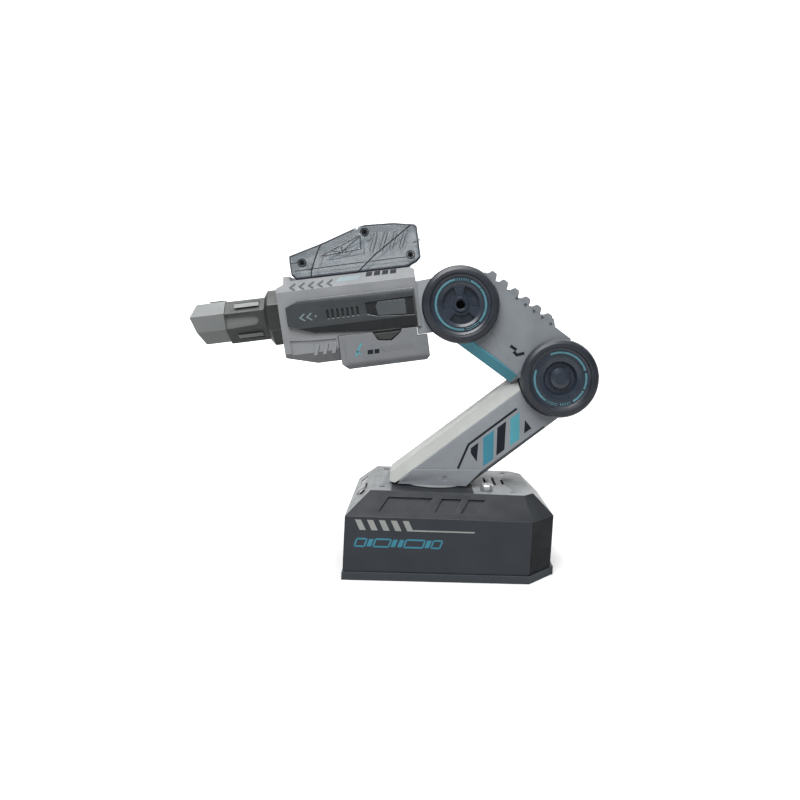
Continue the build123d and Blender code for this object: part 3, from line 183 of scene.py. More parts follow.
def plastic(name, colour, rough=0.48, grain=0.35, grain_scale=1500.0, mottle=0.07, specular=0.45):
    """Moulded plastic: spark-eroded grain, slow shade variation, rubbed patches and hairline scratches."""
    g = Graph(name)
    slow = g.remap(g.noise(38.0, 4.0), 0.3, 0.7, 0.0, 1.0)
    speck = g.remap(g.noise(900.0, 2.0), 0.35, 0.7, 0.0, 1.0)
    shade = g.mix(slow, scaled(colour, 1.0 - mottle), scaled(colour, 1.0 + mottle))
    dusty = g.mix(g.multiply(slow, speck), shade, scaled(colour, 1.0 + 2.2 * mottle))
    scratch = g.remap(g.noise(30.0, 2.0, (3.0, 60.0, 60.0)), 0.66, 0.70, 0.0, 1.0)
    faint = g.multiply(scratch, g.remap(g.noise(22.0, 1.0), 0.52, 0.62, 0.0, 0.35))
    g.join(g.mix(faint, dusty, scaled(colour, 1.25)), g.shader.inputs["Base Color"])
    rub = g.remap(g.noise(70.0, 3.0), 0.35, 0.65, rough - 0.07, rough + 0.06)
    g.join(rub, g.shader.inputs["Roughness"])
    fine = g.bump(g.noise(grain_scale, 2.0), grain, 0.00006)
    wavy = g.bump(g.noise(60.0, 1.0), 0.06, 0.0006, fine)
    g.join(wavy, g.shader.inputs["Normal"])
    g.shader.inputs["Specular IOR Level"].default_value = specular
    return g.material


def edge_of(name, colour, rough):
    """Softened mould edge: a little paler and smoother than the faces beside it, partly rubbed wear and
    partly a painted highlight.
    """
    g = Graph(name + "_edge")
    wear_and_highlight = g.remap(g.noise(160.0, 3.0), 0.38, 0.66, 0.0, 1.0)
    g.join(g.mix(wear_and_highlight, scaled(colour, 1.02), scaled(colour, 1.22)), g.shader.inputs["Base Color"])
    g.join(g.remap(g.noise(300.0, 2.0), 0.3, 0.7, rough - 0.15, rough), g.shader.inputs["Roughness"])
    g.join(g.bump(g.noise(1200.0, 2.0), 0.2, 0.00005), g.shader.inputs["Normal"])
    return g.material


def metal(name, colour, rough=0.3, brush=(1.0, 60.0, 1.0)):
    """Turned or ground steel with fine tool lines."""
    g = Graph(name)
    lines = g.noise(220.0, 4.0, brush)
    tone = g.remap(lines, 0.3, 0.7, 0.0, 1.0)
    g.join(g.mix(tone, scaled(colour, 0.85), scaled(colour, 1.1)), g.shader.inputs["Base Color"])
    g.join(g.remap(lines, 0.3, 0.7, rough - 0.06, rough + 0.1), g.shader.inputs["Roughness"])
    g.join(g.bump(lines, 0.15, 0.00004), g.shader.inputs["Normal"])
    g.shader.inputs["Metallic"].default_value = 1.0
    return g.material


def rubber(name, colour):
    """Satin rubber-like rim with a fine pebble and pale handling marks."""
    g = Graph(name)
    slow = g.remap(g.noise(45.0, 4.0), 0.35, 0.68, 0.0, 1.0)
    dust = g.remap(g.noise(600.0, 3.0), 0.5, 0.75, 0.0, 0.6)
    base = g.mix(slow, scaled(colour, 0.88), scaled(colour, 1.18))
    g.join(g.mix(g.multiply(dust, slow), base, scaled(colour, 1.9)), g.shader.inputs["Base Color"])
    g.join(g.remap(slow, 0.0, 1.0, 0.27, 0.42), g.shader.inputs["Roughness"])
    g.join(g.bump(g.noise(1300.0, 2.0), 0.3, 0.00007), g.shader.inputs["Normal"])
    g.shader.inputs["Specular IOR Level"].default_value = 0.25
    return g.material


def smoke_clear(name, colour, clarity):
    """Smoke-tinted clear plastic: see-through face on, denser at glancing angles."""
    g = Graph(name)
    flow = g.remap(g.noise(26.0, 3.0, (1.0, 1.0, 2.5)), 0.35, 0.65, 0.0, 1.0)
    g.join(g.mix(flow, scaled(colour, 0.9), scaled(colour, 1.1)), g.shader.inputs["Base Color"])
    g.join(g.remap(g.noise(120.0, 2.0), 0.3, 0.7, 0.1, 0.2), g.shader.inputs["Roughness"])
    facing = g.add("ShaderNodeLayerWeight", Blend=0.35)
    alpha = g.remap(facing.outputs["Facing"], 0.0, 1.0, 1.0 - clarity, 1.0)
    g.join(alpha, g.shader.inputs["Alpha"])
    g.join(g.bump(g.noise(35.0, 2.0), 0.12, 0.0008), g.shader.inputs["Normal"])
    g.shader.inputs["Specular IOR Level"].default_value = 0.6
    g.shader.inputs["Coat Weight"].default_value = 0.4
    g.shader.inputs["Coat Roughness"].default_value = 0.08
    return g.material


def glowing(name, colour):
    """Diffusing light pipe, unlit: milky core with a faint painted glow as emission, though no lamp lights
    it.
    """
    g = Graph(name)
    core = g.remap(g.noise(420.0, 3.0), 0.3, 0.7, 0.0, 1.0)
    g.join(g.mix(core, scaled(colour, 0.8), scaled(colour, 1.15)), g.shader.inputs["Base Color"])
    g.join(g.remap(g.noise(200.0, 2.0), 0.3, 0.7, 0.25, 0.4), g.shader.inputs["Roughness"])
    g.join(g.bump(g.noise(900.0, 2.0), 0.15, 0.00005), g.shader.inputs["Normal"])
    g.shader.inputs["Emission Color"].default_value = scaled(colour, 1.0)
    g.shader.inputs["Emission Strength"].default_value = 0.04
    return g.material


COLOURS = {
    "shell_dark": rgb(38, 41, 45),
    # Painted shade: darker copies of shell_dark for the base shell's upward and right-facing faces.
    "slope_painted_shade": rgb(29, 31, 34),
    "end_painted_shade": rgb(20, 22, 24),
    "plate_dark": rgb(44, 48, 52),
    "shell_grey": rgb(90, 94, 96),
    # Painted shade: a dimmer copy of shell_grey for the left end cover.
    "cover_painted_shade": rgb(76, 80, 82),
    "arm_grey": rgb(100, 104, 108),
    "upper_grey": rgb(92, 96, 100),
    # Painted light: a lighter copy of arm_grey for the yoke, which sits in shadow.
    "yoke_painted_light": rgb(112, 116, 120),
    "spine_white": rgb(126, 128, 126),
    "head_grey": rgb(100, 102, 104),
    # Painted shade: darker copies of head_grey for the head shell's upward and downward faces.
    "head_top_painted_shade": rgb(78, 80, 82),
    "head_low_painted_shade": rgb(84, 86, 88),
    "module_grey": rgb(86, 88, 91),
    "panel_dark": rgb(42, 45, 47),
    # Painted shade: near-black for the panel bay floor, slat floors and chin bevel.
    "recess_painted_shade": rgb(20, 22, 24),
    # Painted highlight: paler than panel_dark for the panel insert.
    "insert_painted_highlight": rgb(52, 56, 59),
    "edge_dark": rgb(44, 47, 50),
    "collar_dark": rgb(27, 29, 29),
    "shroud_dark": rgb(34, 37, 36),
    "muzzle_grey": rgb(84, 86, 86),
    "dish_dark": rgb(28, 34, 43),
    "accent_cyan": rgb(56, 108, 120),
    "print_grey": rgb(60, 62, 64),
    "print_white": rgb(114, 116, 114),
    "print_black": rgb(20, 23, 29),
    "print_blue": rgb(48, 98, 114),
    "print_teal": rgb(62, 116, 126),
}
PRINTS = ("print_grey", "print_white", "print_black", "print_blue", "print_teal")
RIM_BLACK = rgb(30, 33, 38)
CLEAR_SMOKE = rgb(98, 107, 113)
DEFAULT_ROUGHNESS = 0.48
ROUGHNESS = {
    "dish_dark": 0.3,
    "accent_cyan": 0.42,
    "spine_white": 0.5,
    "panel_dark": 0.36,
    "shell_dark": 0.46,
}
DEFAULT_SPECULAR = 0.3
SPECULAR = {
    "shell_dark": 0.12,
    "plate_dark": 0.12,
    "slope_painted_shade": 0.1,
    "end_painted_shade": 0.06,
    "dish_dark": 0.4,
    "recess_painted_shade": 0.2,
}

materials = {}
edges = {}


def make_plastics():
    """The moulded plastics, each with its softened edge, and the flat printing inks."""
    for key, colour in COLOURS.items():
        if key in PRINTS:
            materials[key] = plastic(key, colour, 0.5, 0.12, 2600.0, 0.05, 0.08)
            continue
        rough = ROUGHNESS.get(key, DEFAULT_ROUGHNESS)
        materials[key] = plastic(key, colour, rough, specular=SPECULAR.get(key, DEFAULT_SPECULAR))
        edges[key] = edge_of(key, colour, rough)
    materials["print_tint"] = plastic("print_tint", rgb(88, 101, 104), 0.5, specular=0.2)
    materials["gear_plastic"] = plastic("gear_plastic", rgb(216, 214, 206), 0.4, 0.1)
    materials["board_green"] = plastic("board_green", rgb(22, 84, 52), 0.3, 0.1)
    materials["battery_wrap"] = plastic("battery_wrap", rgb(58, 92, 140), 0.3, 0.05)
    materials["window_black"] = plastic("window_black", rgb(20, 22, 25), 0.22, 0.05, 2000.0, 0.1, 0.6)


def make_rubbers():
    materials["rim_black"] = rubber("rim_black", RIM_BLACK)
    edges["rim_black"] = edge_of("rim_black", RIM_BLACK, 0.42)
    materials["pad_rubber"] = rubber("pad_rubber", rgb(34, 34, 35))


def make_clear_plastics():
    """Hopper walls, their edges darkened as painted shade, the raised ribs on them and the dark outline,
    also painted shade.
    """
    materials["clear_smoke"] = smoke_clear("clear_smoke", CLEAR_SMOKE, 0.55)
    # painted shade: the clear shell's bevel faces darkened as its edges look
    edges["clear_smoke"] = smoke_clear("clear_smoke_edge", scaled(CLEAR_SMOKE, 0.3), 0.2)
    materials["clear_rib"] = smoke_clear("clear_rib", scaled(CLEAR_SMOKE, 0.3), 0.15)
    materials["edge_smoke"] = smoke_clear("edge_smoke", rgb(58, 64, 70), 0.3)
    # painted glow: the ring plastic emits faintly, though no lamp is in it
    materials["light_ring"] = glowing("light_ring", rgb(58, 98, 107))


def make_metals():
    materials["steel"] = metal("steel", rgb(176, 178, 182))
    materials["knob_silver"] = metal("knob_silver", rgb(176, 177, 180), 0.34, (40.0, 1.0, 1.0))
    materials["screw_black"] = metal("screw_black", rgb(24, 26, 28), 0.5)
    materials["bronze"] = metal("bronze", rgb(170, 140, 96), 0.4)


make_plastics()
make_rubbers()
make_clear_plastics()
make_metals()


# ------------------------------------------------------------------ pieces from the frame
def link(piece):
    bpy.context.scene.collection.objects.link(piece)
    return piece


def record_slot(node):
    """Material slot that the record gives a node."""
    for entry in frame["record"]["subparts"]:
        if entry["node"] == node:
            return entry["material_slot"]
    return None


WELD = 0.002
FLAT_ANGLE = math.radians(0.6)
KEEP_TRIANGLES = ("side_panel_near", "side_panel_far")
# Painted shade on the shells: darker copies of a shell's colour on faces by which way they look, standing in
# for how light falls on them.
BASE_ZONES = (
    ("slope_painted_shade", lambda normal: normal.z > 0.2),
    ("end_painted_shade", lambda normal: normal.x > 0.3),
)
HEAD_ZONES = (
    ("head_top_painted_shade", lambda normal: normal.dot(HEAD_UP) > 0.3),
    ("head_low_painted_shade", lambda normal: normal.dot(HEAD_UP) < -0.1),
)
ZONES = {"base_shell": BASE_ZONES, "head_shell_near": HEAD_ZONES, "head_shell_far": HEAD_ZONES}


def moulded(node, width=0.5, angle=32.0, segments=2, key=None):
    """Copy of a CAD node with softened edges, paler as partly worn and partly a painted highlight; it stands
    for the node.
    """
    slot = record_slot(node)
    key = key or slot
    source = frame["nodes"][node]
    mesh = bpy.data.meshes.new(node + "_moulded")
    bm = bmesh.new()
    bm.from_mesh(source.data)
    bmesh.ops.remove_doubles(bm, verts=bm.verts, dist=WELD * MM)
    if node not in KEEP_TRIANGLES:
        bmesh.ops.dissolve_limit(bm, angle_limit=FLAT_ANGLE, verts=bm.verts, edges=bm.edges)
    for face in bm.faces:
        face.smooth = True
        face.material_index = 0
        # Painted shade: faces that look up, down or aside take a darker copy of the shell colour.
        for i, (painted_shade_key, test) in enumerate(ZONES.get(node, ())):
            if face.material_index == 0 and test(face.normal):
                face.material_index = 2 + i
    limit = math.radians(angle)
    for edge in bm.edges:
        edge.smooth = len(edge.link_faces) == 2 and edge.calc_face_angle(0.0) < limit
    bm.to_mesh(mesh)
    bm.free()
    mesh.materials.append(materials[key])
    mesh.materials.append(edges.get(key, materials[key]))
    for painted_shade_key, test in ZONES.get(node, ()):
        mesh.materials.append(materials[painted_shade_key])
    piece = link(bpy.data.objects.new(node + "_moulded", mesh))
    if width:
        bevel = piece.modifiers.new("soft_edges", "BEVEL")
        bevel.width = width * MM
        bevel.segments = segments
        bevel.limit_method = "ANGLE"
        bevel.angle_limit = limit
        bevel.use_clamp_overlap = True
        bevel.harden_normals = True
        # bevel faces take the edge material, paler as part wear and part painted highlight
        bevel.material = 1
        bevel.miter_outer = "MITER_ARC"
    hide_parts(node)
    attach(piece, source["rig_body"])
    return piece


def plain(node, key=None):
    """Keeps a CAD node and gives it a detailed material."""
    key = key or record_slot(node)
    mesh = frame["nodes"][node].data
    mesh.materials.clear()
    mesh.materials.append(materials[key])


# Nodes that get softened edges, with the width of the edge.
MOULDED = {
    "base_shell": 0.9, "base_plate": 0.5, "end_cover_left": 0.45, "end_cover_right": 0.45,
    "turntable_disc": 0.3, "arm_shoe": 0.5, "lower_arm_shell_near": 0.7, "lower_arm_shell_far": 0.7,
    "lower_arm_spine": 0.9, "upper_arm_shell_near": 0.7, "upper_arm_shell_far": 0.7, "accent_strips": 0.2,
    "head_shell_near": 0.7, "head_shell_far": 0.7, "side_panel_near": 0.4, "side_panel_far": 0.4,
    "wrist_yoke": 0.6, "barrel_collar": 0.6, "barrel_shroud": 0.5, "muzzle": 0.6,
    "battery_module": 0.5, "release_tab": 0.3, "hopper_shell": 0.5, "hopper_lid": 0.4,
    "power_rocker": 0.4, "push_button": 0.4,
}
# Nodes whose shade differs from the one of their slot: mostly their own colour, but the dimmer left end
# cover is painted shade and the lighter yoke is painted light on the neck, which sits in shadow.
OWN_AND_PAINTED_SHADES = {
    "battery_module": "module_grey", "barrel_shroud": "shroud_dark", "barrel_collar": "collar_dark",
    "base_plate": "plate_dark", "wrist_yoke": "yoke_painted_light", "release_tab": "shroud_dark",
    "end_cover_left": "cover_painted_shade", "upper_arm_shell_near": "upper_grey", "upper_arm_shell_far": "upper_grey",
}
for name, width in MOULDED.items():
    moulded(name, width, key=OWN_AND_PAINTED_SHADES.get(name))
for name in frame["nodes"]:
    if name not in MOULDED:
        plain(name)


# ------------------------------------------------------------------ raised and printed details
def stamp(bm, plane, outline, low, high):
    """Closed prism on a plane, from an outline in millimetres and two heights along the plane's z."""
    rings = []
    for height in (low, high):
        rings.append([bm.verts.new(plane @ (Vector((x, y, height)) * MM)) for x, y in outline])
    bottom, top = rings
    bm.faces.new(bottom)
    bm.faces.new(top)
    count = len(outline)
    for i in range(count):
        j = (i + 1) % count
        bm.faces.new((bottom[i], bottom[j], top[j], top[i]))


def stroke(points, width):
    """Outline of a constant-width line through the points, with mitred corners."""
    left = []
    right = []
    for i, point in enumerate(points):
        here = Vector(point)
        before = Vector(points[i - 1]) if i else None
        after = Vector(points[i + 1]) if i + 1 < len(points) else None
        incoming = (here - before).normalized() if before else (after - here).normalized()
        outgoing = (after - here).normalized() if after else incoming
        bisector = (incoming + outgoing).normalized()
        normal = Vector((-bisector.y, bisector.x))
        reach = width / 2 / max(0.4, normal.dot(Vector((-incoming.y, incoming.x))))
        left.append(tuple(here + normal * reach))
        right.append(tuple(here - normal * reach))
    return left + right[::-1]


def arc_band(cx, cy, inner, outer, start, end):
    """Outline of a ring sector, in degrees."""
    steps = max(2, int(abs(end - start) / 4))
    angles = [math.radians(start + (end - start) * i / steps) for i in range(steps + 1)]
    outside = [(cx + outer * math.cos(a), cy + outer * math.sin(a)) for a in angles]
    inside = [(cx + inner * math.cos(a), cy + inner * math.sin(a)) for a in reversed(angles)]
    return outside + inside


def capsule(start, end, width):
    """Outline of a round-ended bar."""
    a, b = Vector(start), Vector(end)
    heading = math.atan2((b - a).y, (b - a).x)
    points = []
    for centre, turn in ((b, -0.5), (a, 0.5)):
        for i in range(7):
            angle = heading + math.pi * (turn + i / 6)
            points.append((centre.x + width / 2 * math.cos(angle), centre.y + width / 2 * math.sin(angle)))
    return points


def piece_from(name, bm, material, body, bevel=0.0):
    """Finishes a mesh-code piece: outward faces, material, soft edges, and the body it rides on."""
    bmesh.ops.recalc_face_normals(bm, faces=bm.faces)
    mesh = bpy.data.meshes.new(name)
    bm.to_mesh(mesh)
    bm.free()
    mesh.materials.append(materials[material])
    piece = link(bpy.data.objects.new(name, mesh))
    if bevel:
        modifier = piece.modifiers.new("soft_edges", "BEVEL")
        modifier.width = bevel * MM
        modifier.segments = 2
        modifier.limit_method = "ANGLE"
        modifier.angle_limit = math.radians(40)
    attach(piece, body)
    return piece


PRINT_SINK = 0.15
PRINT_PROUD = 0.05


def printed(name, material, body, jobs, proud=PRINT_PROUD, bevel=0.0):
    """Prints outlines on planes: jobs are (plane, surface height, outline) rows."""
    bm = bmesh.new()
    for plane, surface, outline in jobs:
        stamp(bm, plane, outline, surface - PRINT_SINK, surface + proud)
    return piece_from(name, bm, material, body, bevel)


# ---- base walls: five slashes with a rule, and a generic row of slanted blocks
BASE_WALL = 72.0
SLASH = [(-88.8, 56.2), (-83.4, 56.2), (-78.6, 46.7), (-84.2, 46.7)]
SLASH_COUNT = 5
SLASH_PITCH = 10.7
RULE = [(-36.6, 48.0), (20.5, 48.0), (19.6, 46.7), (-35.9, 46.7)]
BLOCK_START = -88.5
BLOCK_LOW = 31.6
BLOCK_HIGH = 38.6
BLOCK_LEAN = 2.4
BLOCK_GAP = 1.9
BLOCK_LINE = 1.5
HOLLOW_BLOCK = True
SOLID_BLOCK = False
BLOCK_ROW = (
    (9, HOLLOW_BLOCK), (4, SOLID_BLOCK), (14, HOLLOW_BLOCK), (4, SOLID_BLOCK),
    (4, SOLID_BLOCK), (17, HOLLOW_BLOCK), (4, SOLID_BLOCK), (8, HOLLOW_BLOCK),
)


def slanted_blocks():
    """Outlines of the row: solid blocks whole, hollow ones as four lines."""
    outlines = []
    x = BLOCK_START
    for width, hollow in BLOCK_ROW:
        a = (x, BLOCK_LOW)
        b = (x + width, BLOCK_LOW)
        c = (x + width + BLOCK_LEAN, BLOCK_HIGH)
        d = (x + BLOCK_LEAN, BLOCK_HIGH)
        if hollow:
            outlines += [stroke(line, BLOCK_LINE) for line in ((a, b), (d, c), (a, d), (b, c))]
        else:
            outlines.append([a, b, c, d])
        x += width + BLOCK_GAP
    return outlines


def base_graphics():
    white = []
    blocks = []
    for side in SIDES:
        plane = world_side(side)
        for i in range(SLASH_COUNT):
            white.append((plane, BASE_WALL, [(x + SLASH_PITCH * i, z) for x, z in SLASH]))
        white.append((plane, BASE_WALL, RULE))
        blocks += [(plane, BASE_WALL, outline) for outline in slanted_blocks()]
    printed("base_print_white", "print_white", "base", white)
    printed("base_print_cyan", "print_blue", "base", blocks)


base_graphics()

# ---- lower arm flanks: black line with a bend, black, blue and teal slanted blocks
LOWER_FLANK = 28.0
BLACK_LINE_WIDTH = 2.2
BLACK_LINE = [(58.3, 158.3), (13.4, 120.9), (4.3, 96.6)]
BLACK_BLOCKS = [
    [(15.8, 117.4), (22.8, 123.2), (22.4, 104.2), (16.0, 112.5)],
    [(40.5, 138.6), (48.6, 145.3), (48.8, 117.4), (41.2, 111.2)],
    [(67.1, 147.6), (74.1, 139.6), (67.1, 134.3)],
]
BLUE_BLOCK = [(27.2, 128.0), (37.3, 136.3), (38.3, 107.6), (28.9, 99.9)]
TEAL_BLOCK = [(52.7, 148.2), (61.3, 155.2), (62.8, 128.4), (54.0, 121.4)]
REAR_EDGE = [(-129.0, -32.1), (-38.5, -32.1), (-39.5, -29.6), (-129.0, -29.0)]


def lower_arm_graphics():
    black = []
    blue = []
    teal = []
    edge = []
    for side in SIDES:
        plane = world_side(side)
        black.append((plane, LOWER_FLANK, stroke(BLACK_LINE, BLACK_LINE_WIDTH)))
        black += [(plane, LOWER_FLANK, outline) for outline in BLACK_BLOCKS]
        blue.append((plane, LOWER_FLANK, BLUE_BLOCK))
        teal.append((plane, LOWER_FLANK, TEAL_BLOCK))
        edge.append((side_plane(ELBOW, ALONG_LOWER, LOWER_UP, side), LOWER_FLANK, REAR_EDGE))
    printed("lower_arm_edge_line", "edge_dark", "lower_arm", edge)
    printed("lower_arm_print_black", "print_black", "lower_arm", black)
    printed("lower_arm_print_blue", "print_blue", "lower_arm", blue)
    printed("lower_arm_print_teal", "print_teal", "lower_arm", teal)


lower_arm_graphics()

# ---- upper arm flanks: shallow facet above the cyan bevel and two dark dashes
UPPER_FLANK = 30.0
FACET = [
    (30.0, -14.5), (36.3, -19.4), (84.3, -21.6), (85.0, -15.2), (78.0, -14.2), (66.9, -15.4), (57.0, -14.6),
    (49.0, -8.6), (43.5, -4.6), (34.0, -3.2),
]
DASH_WIDTH = 2.9
DASHES = [[(61.8, -2.9), (69.0, -2.6)], [(67.6, -5.5), (72.1, -6.3), (77.0, -0.6)]]


def upper_arm_graphics():
    facet = []
    dashes = []
    for side in SIDES:
        plane = upper_side(side)
        facet.append((plane, UPPER_FLANK, FACET))
        dashes += [(plane, UPPER_FLANK, stroke(line, DASH_WIDTH)) for line in DASHES]
    printed("upper_arm_facets", "upper_grey", "upper_arm", facet, 0.5, 0.35)
    printed("upper_arm_print", "print_black", "upper_arm", dashes)


upper_arm_graphics()

# ---- joint covers: pale arcs with a faint painted glow, ticks and fine double lines on the dish
DISH_FACE = 38.6
LIGHT_WIDTH = 2.0
LIGHT_RISE = 0.45
TICK_DEGREES = 2.2
TICK_DEPTH = 2.5
TICK_REACH = 0.1
TICK_RISE = 0.4
FINE_INSETS = (2.1, 0.5)
FINE_WIDTH = 0.5
FINE_RISE = 0.3
LIGHT_SINK = 0.1
ARCS = {
    "wrist": {
        "centre": 0.0, "radius": 24.6,
        "light": [(139, 314), (76, 104), (-6, 74)],
        "ticks": (108, 6, 5.2),
        "fine": (318, 351),
    },
    "elbow": {
        "centre": ARM_LENGTH, "radius": 26.2,
        "light": [(54, 150), (197, 272), (336, 368), (12, 48)],
        "ticks": (306, 5, 5.2),
        "fine": (274, 300),
    },
}


def joint_bands(layout):
    """Ring sectors of one cover, each with its rise above the dish."""
    centre, outer = layout["centre"], layout["radius"]
    for start, end in layout["light"]:
        yield arc_band(centre, 0, outer - LIGHT_WIDTH, outer, start, end), LIGHT_RISE
    first, count, pitch = layout["ticks"]
    for i in range(count):
        angle = first + pitch * i
        low, high = outer - TICK_DEPTH, outer + TICK_REACH
        yield arc_band(centre, 0, low, high, angle, angle + TICK_DEGREES), TICK_RISE
    start, end = layout["fine"]
    for inset in FINE_INSETS:
        radius = outer - inset
        yield arc_band(centre, 0, radius, radius + FINE_WIDTH, start, end), FINE_RISE


def joint_painted_glow_arcs():
    for joint, layout in ARCS.items():
        bm = bmesh.new()
        for side in SIDES:
            for outline, rise in joint_bands(layout):
                stamp(bm, upper_side(side), outline, DISH_FACE - LIGHT_SINK, DISH_FACE + rise)
        # arcs, ticks and fine lines all take the faintly glowing ring plastic: a painted glow
        piece = piece_from(joint + "_painted_glow_arcs", bm, "light_ring", "upper_arm", 0.15)
        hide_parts(joint + "_rings")


joint_painted_glow_arcs()

# ---- head: marks on the upper bevels, side panels and chin
BEVEL_FOOT = (31.0, 30.1)
BEVEL_HEAD = (60.0, 7.7)
CHIN_FOOT = (-20.0, 29.2)
CHIN_HEAD = (-4.2, 33.6)
CHIN = [(152.6, 16.2), (138.2, 11.0), (85.0, 6.1), (42.6, 5.5), (42.6, 16.2)]
PANEL_FACE = 33.5
BAY = [(44.0, 13.2), (88.2, 12.4), (87.6, 2.0), (79.8, -0.5), (44.0, -3.5)]
INSERT = [(51.6, 11.7), (76.8, 11.9), (79.1, 8.0), (77.7, -0.3), (51.6, -1.9)]
BAY_DEPTH = 1.5
INSERT_DEPTH = 0.6
SLAT_DEPTH = 1.1
SLATS = {"count": 7, "first": 95.2, "pitch": 4.6, "width": 2.0, "low": 2.0, "high": 10.2}
CHEVRONS = {"count": 5, "first": 150.5, "pitch": -8.6, "line": 1.7}
BLOCKS = {"count": 4, "first": 56.5, "pitch": 7.6}
MARKS = {"count": 2, "first": 138.6, "pitch": 6.4, "line": 1.1}
MARK_DOT = [(135.8, 6.4), (134.2, 6.4), (134.2, 4.8), (135.8, 4.8)]
TINT = [(92.0, 5.0), (113.0, 5.0), (109.0, 10.5), (90.0, 10.5)]


def places(row):
    """Starts of the equally spaced marks in a row."""
    return [row["first"] + row["pitch"] * i for i in range(row["count"])]


def bevel_plane(side, foot, head):
    """Sloping plane between two (up, out) points of the head; x runs forward and y climbs the slope."""
    rise = head[0] - foot[0]
    run = foot[1] - head[1]
    length = math.hypot(rise, run)
    climb = HEAD_UP * (rise / length) + Vector((0, -side, 0)) * (run / length)
    normal = HEAD_UP * (run / length) + Vector((0, side, 0)) * (rise / length)
    origin = WRIST + HEAD_UP * (foot[0] * MM) + Vector((0, side, 0)) * (foot[1] * MM)
    return plane_at(origin, FORWARD, climb, normal)


def bevel_marks():
    """Chevrons, plain dark blocks and a pale tinted patch on the upper bevels."""
    chevrons = []
    blocks = []
    tint = []
    for side in SIDES:
        plane = bevel_plane(side, BEVEL_FOOT, BEVEL_HEAD)
        for u in places(CHEVRONS):
            chevron = [(u, 8.6), (u + 4.6, 4.6), (u + 0.8, 0.8)]
            chevrons.append((plane, 0.0, stroke(chevron, CHEVRONS["line"])))
        for u in places(BLOCKS):
            blocks.append((plane, 0.0, [(u, 7.4), (u + 5.8, 7.4), (u + 4.8, 12.6), (u - 1.0, 12.6)]))
        tint.append((plane, 0.0, TINT))
    printed("head_chevrons", "print_grey", "head", chevrons, 0.45, 0.2)
    printed("head_print_black", "print_black", "head", blocks)
    printed("head_print_tint", "print_tint", "head", tint)


def panel_details():
    """Bay floor and slat floors of the side panels and the chin below them, darkened as painted shade, and
    the insert, paler as a painted highlight.
    """
    dark = []
    insert = []
    slats = []
    for side in SIDES:
        panel = head_side(side)
        dark.append((panel, PANEL_FACE - BAY_DEPTH, BAY))
        dark.append((bevel_plane(side, CHIN_FOOT, CHIN_HEAD), 0.0, CHIN))
        insert.append((panel, PANEL_FACE - INSERT_DEPTH, INSERT))
        low, high = SLATS["low"], SLATS["high"]
        for u in places(SLATS):
            end = u + SLATS["width"]
            slats.append((panel, PANEL_FACE - SLAT_DEPTH, [(u, low), (end, low), (end, high), (u, high)]))
    # painted shade: bay floor, slat floors and chin
    printed("panel_recess_painted_shade", "recess_painted_shade", "head", dark + slats)
    # painted highlight: the insert face, paler than the panel
    printed("panel_insert_painted_highlight", "insert_painted_highlight", "head", insert)


def panel_marks():
    """Two pale arrows and a dot at the front of each side panel."""
    marks = []
    for side in SIDES:
        panel = head_side(side)
        for u in places(MARKS):
            marks.append((panel, PANEL_FACE, stroke([(u, 9.0), (u + 4.4, 5.6), (u, 2.4)], MARKS["line"])))
        marks.append((panel, PANEL_FACE, MARK_DOT))
    printed("panel_marks", "print_tint", "head", marks)


panel_details()
bevel_marks()
panel_marks()

# ---- shroud: (foot, head, slot) of its two bevels; the slot is a range up the slope
SHROUD_BEVELS = (
    ((22.0, 20.0), (30.5, 12.0), (1.75, 7.0)),
    ((-10.5, 12.0), (-2.0, 20.0), (5.0, 9.5)),
)
SLOT_ENDS = (188.7, 211.3)
SLOT_DEPTH = 1.0


def shroud_liners():
    """Pale core seen through the long slots of the shroud."""
    jobs = []
    back, front = SLOT_ENDS
    for side in SIDES:
        for foot, head, (low, high) in SHROUD_BEVELS:
            outline = [(back, low), (front, low), (front, high), (back, high)]
            jobs.append((bevel_plane(side, foot, head), -SLOT_DEPTH, outline))
    printed("shroud_slot_liners", "muzzle_grey", "head", jobs)


shroud_liners()

# ---- battery module
MODULE_FACE = 33.0
MODULE_TOP = -15.6
SEAL_SINK = 0.05
SEAL_RISE = 0.32
SEAL = [(40.0, -28.0), (112.0, -28.0), (112.0, 28.0), (40.0, 28.0)]
MODULE_STROKES = (
    [(104.6, -35.6), (102.8, -35.6), (96.0, -24.4), (98.0, -24.4)],
    [(98.8, -35.6), (97.6, -35.6), (102.0, -30.4), (102.8, -31.6)],
)
MODULE_BLOCKS = (
    [(92.6, -35.6), (87.4, -35.6), (86.8, -31.6), (92.0, -31.6)],
    [(86.2, -35.6), (81.6, -35.6), (81.0, -31.6), (85.6, -31.6)],
)
MODULE_BORDER_WIDTH = 0.7
MODULE_BORDER = [(112.6, -21.5), (112.6, -40.6), (108.6, -41.8), (38.0, -41.8)]
HATCH = {"count": 7, "first": 76.5, "pitch": -4.6}


def module_seal():
    """Dark gasket in the gap between the module and the head."""
    bm = bmesh.new()
    plane = plane_at(WRIST, FORWARD, Vector((0.0, 1.0, 0.0)), HEAD_UP)
    stamp(bm, plane, SEAL, MODULE_TOP - SEAL_SINK, MODULE_TOP + SEAL_RISE)
    piece_from("module_seal", bm, "pad_rubber", "battery_module")


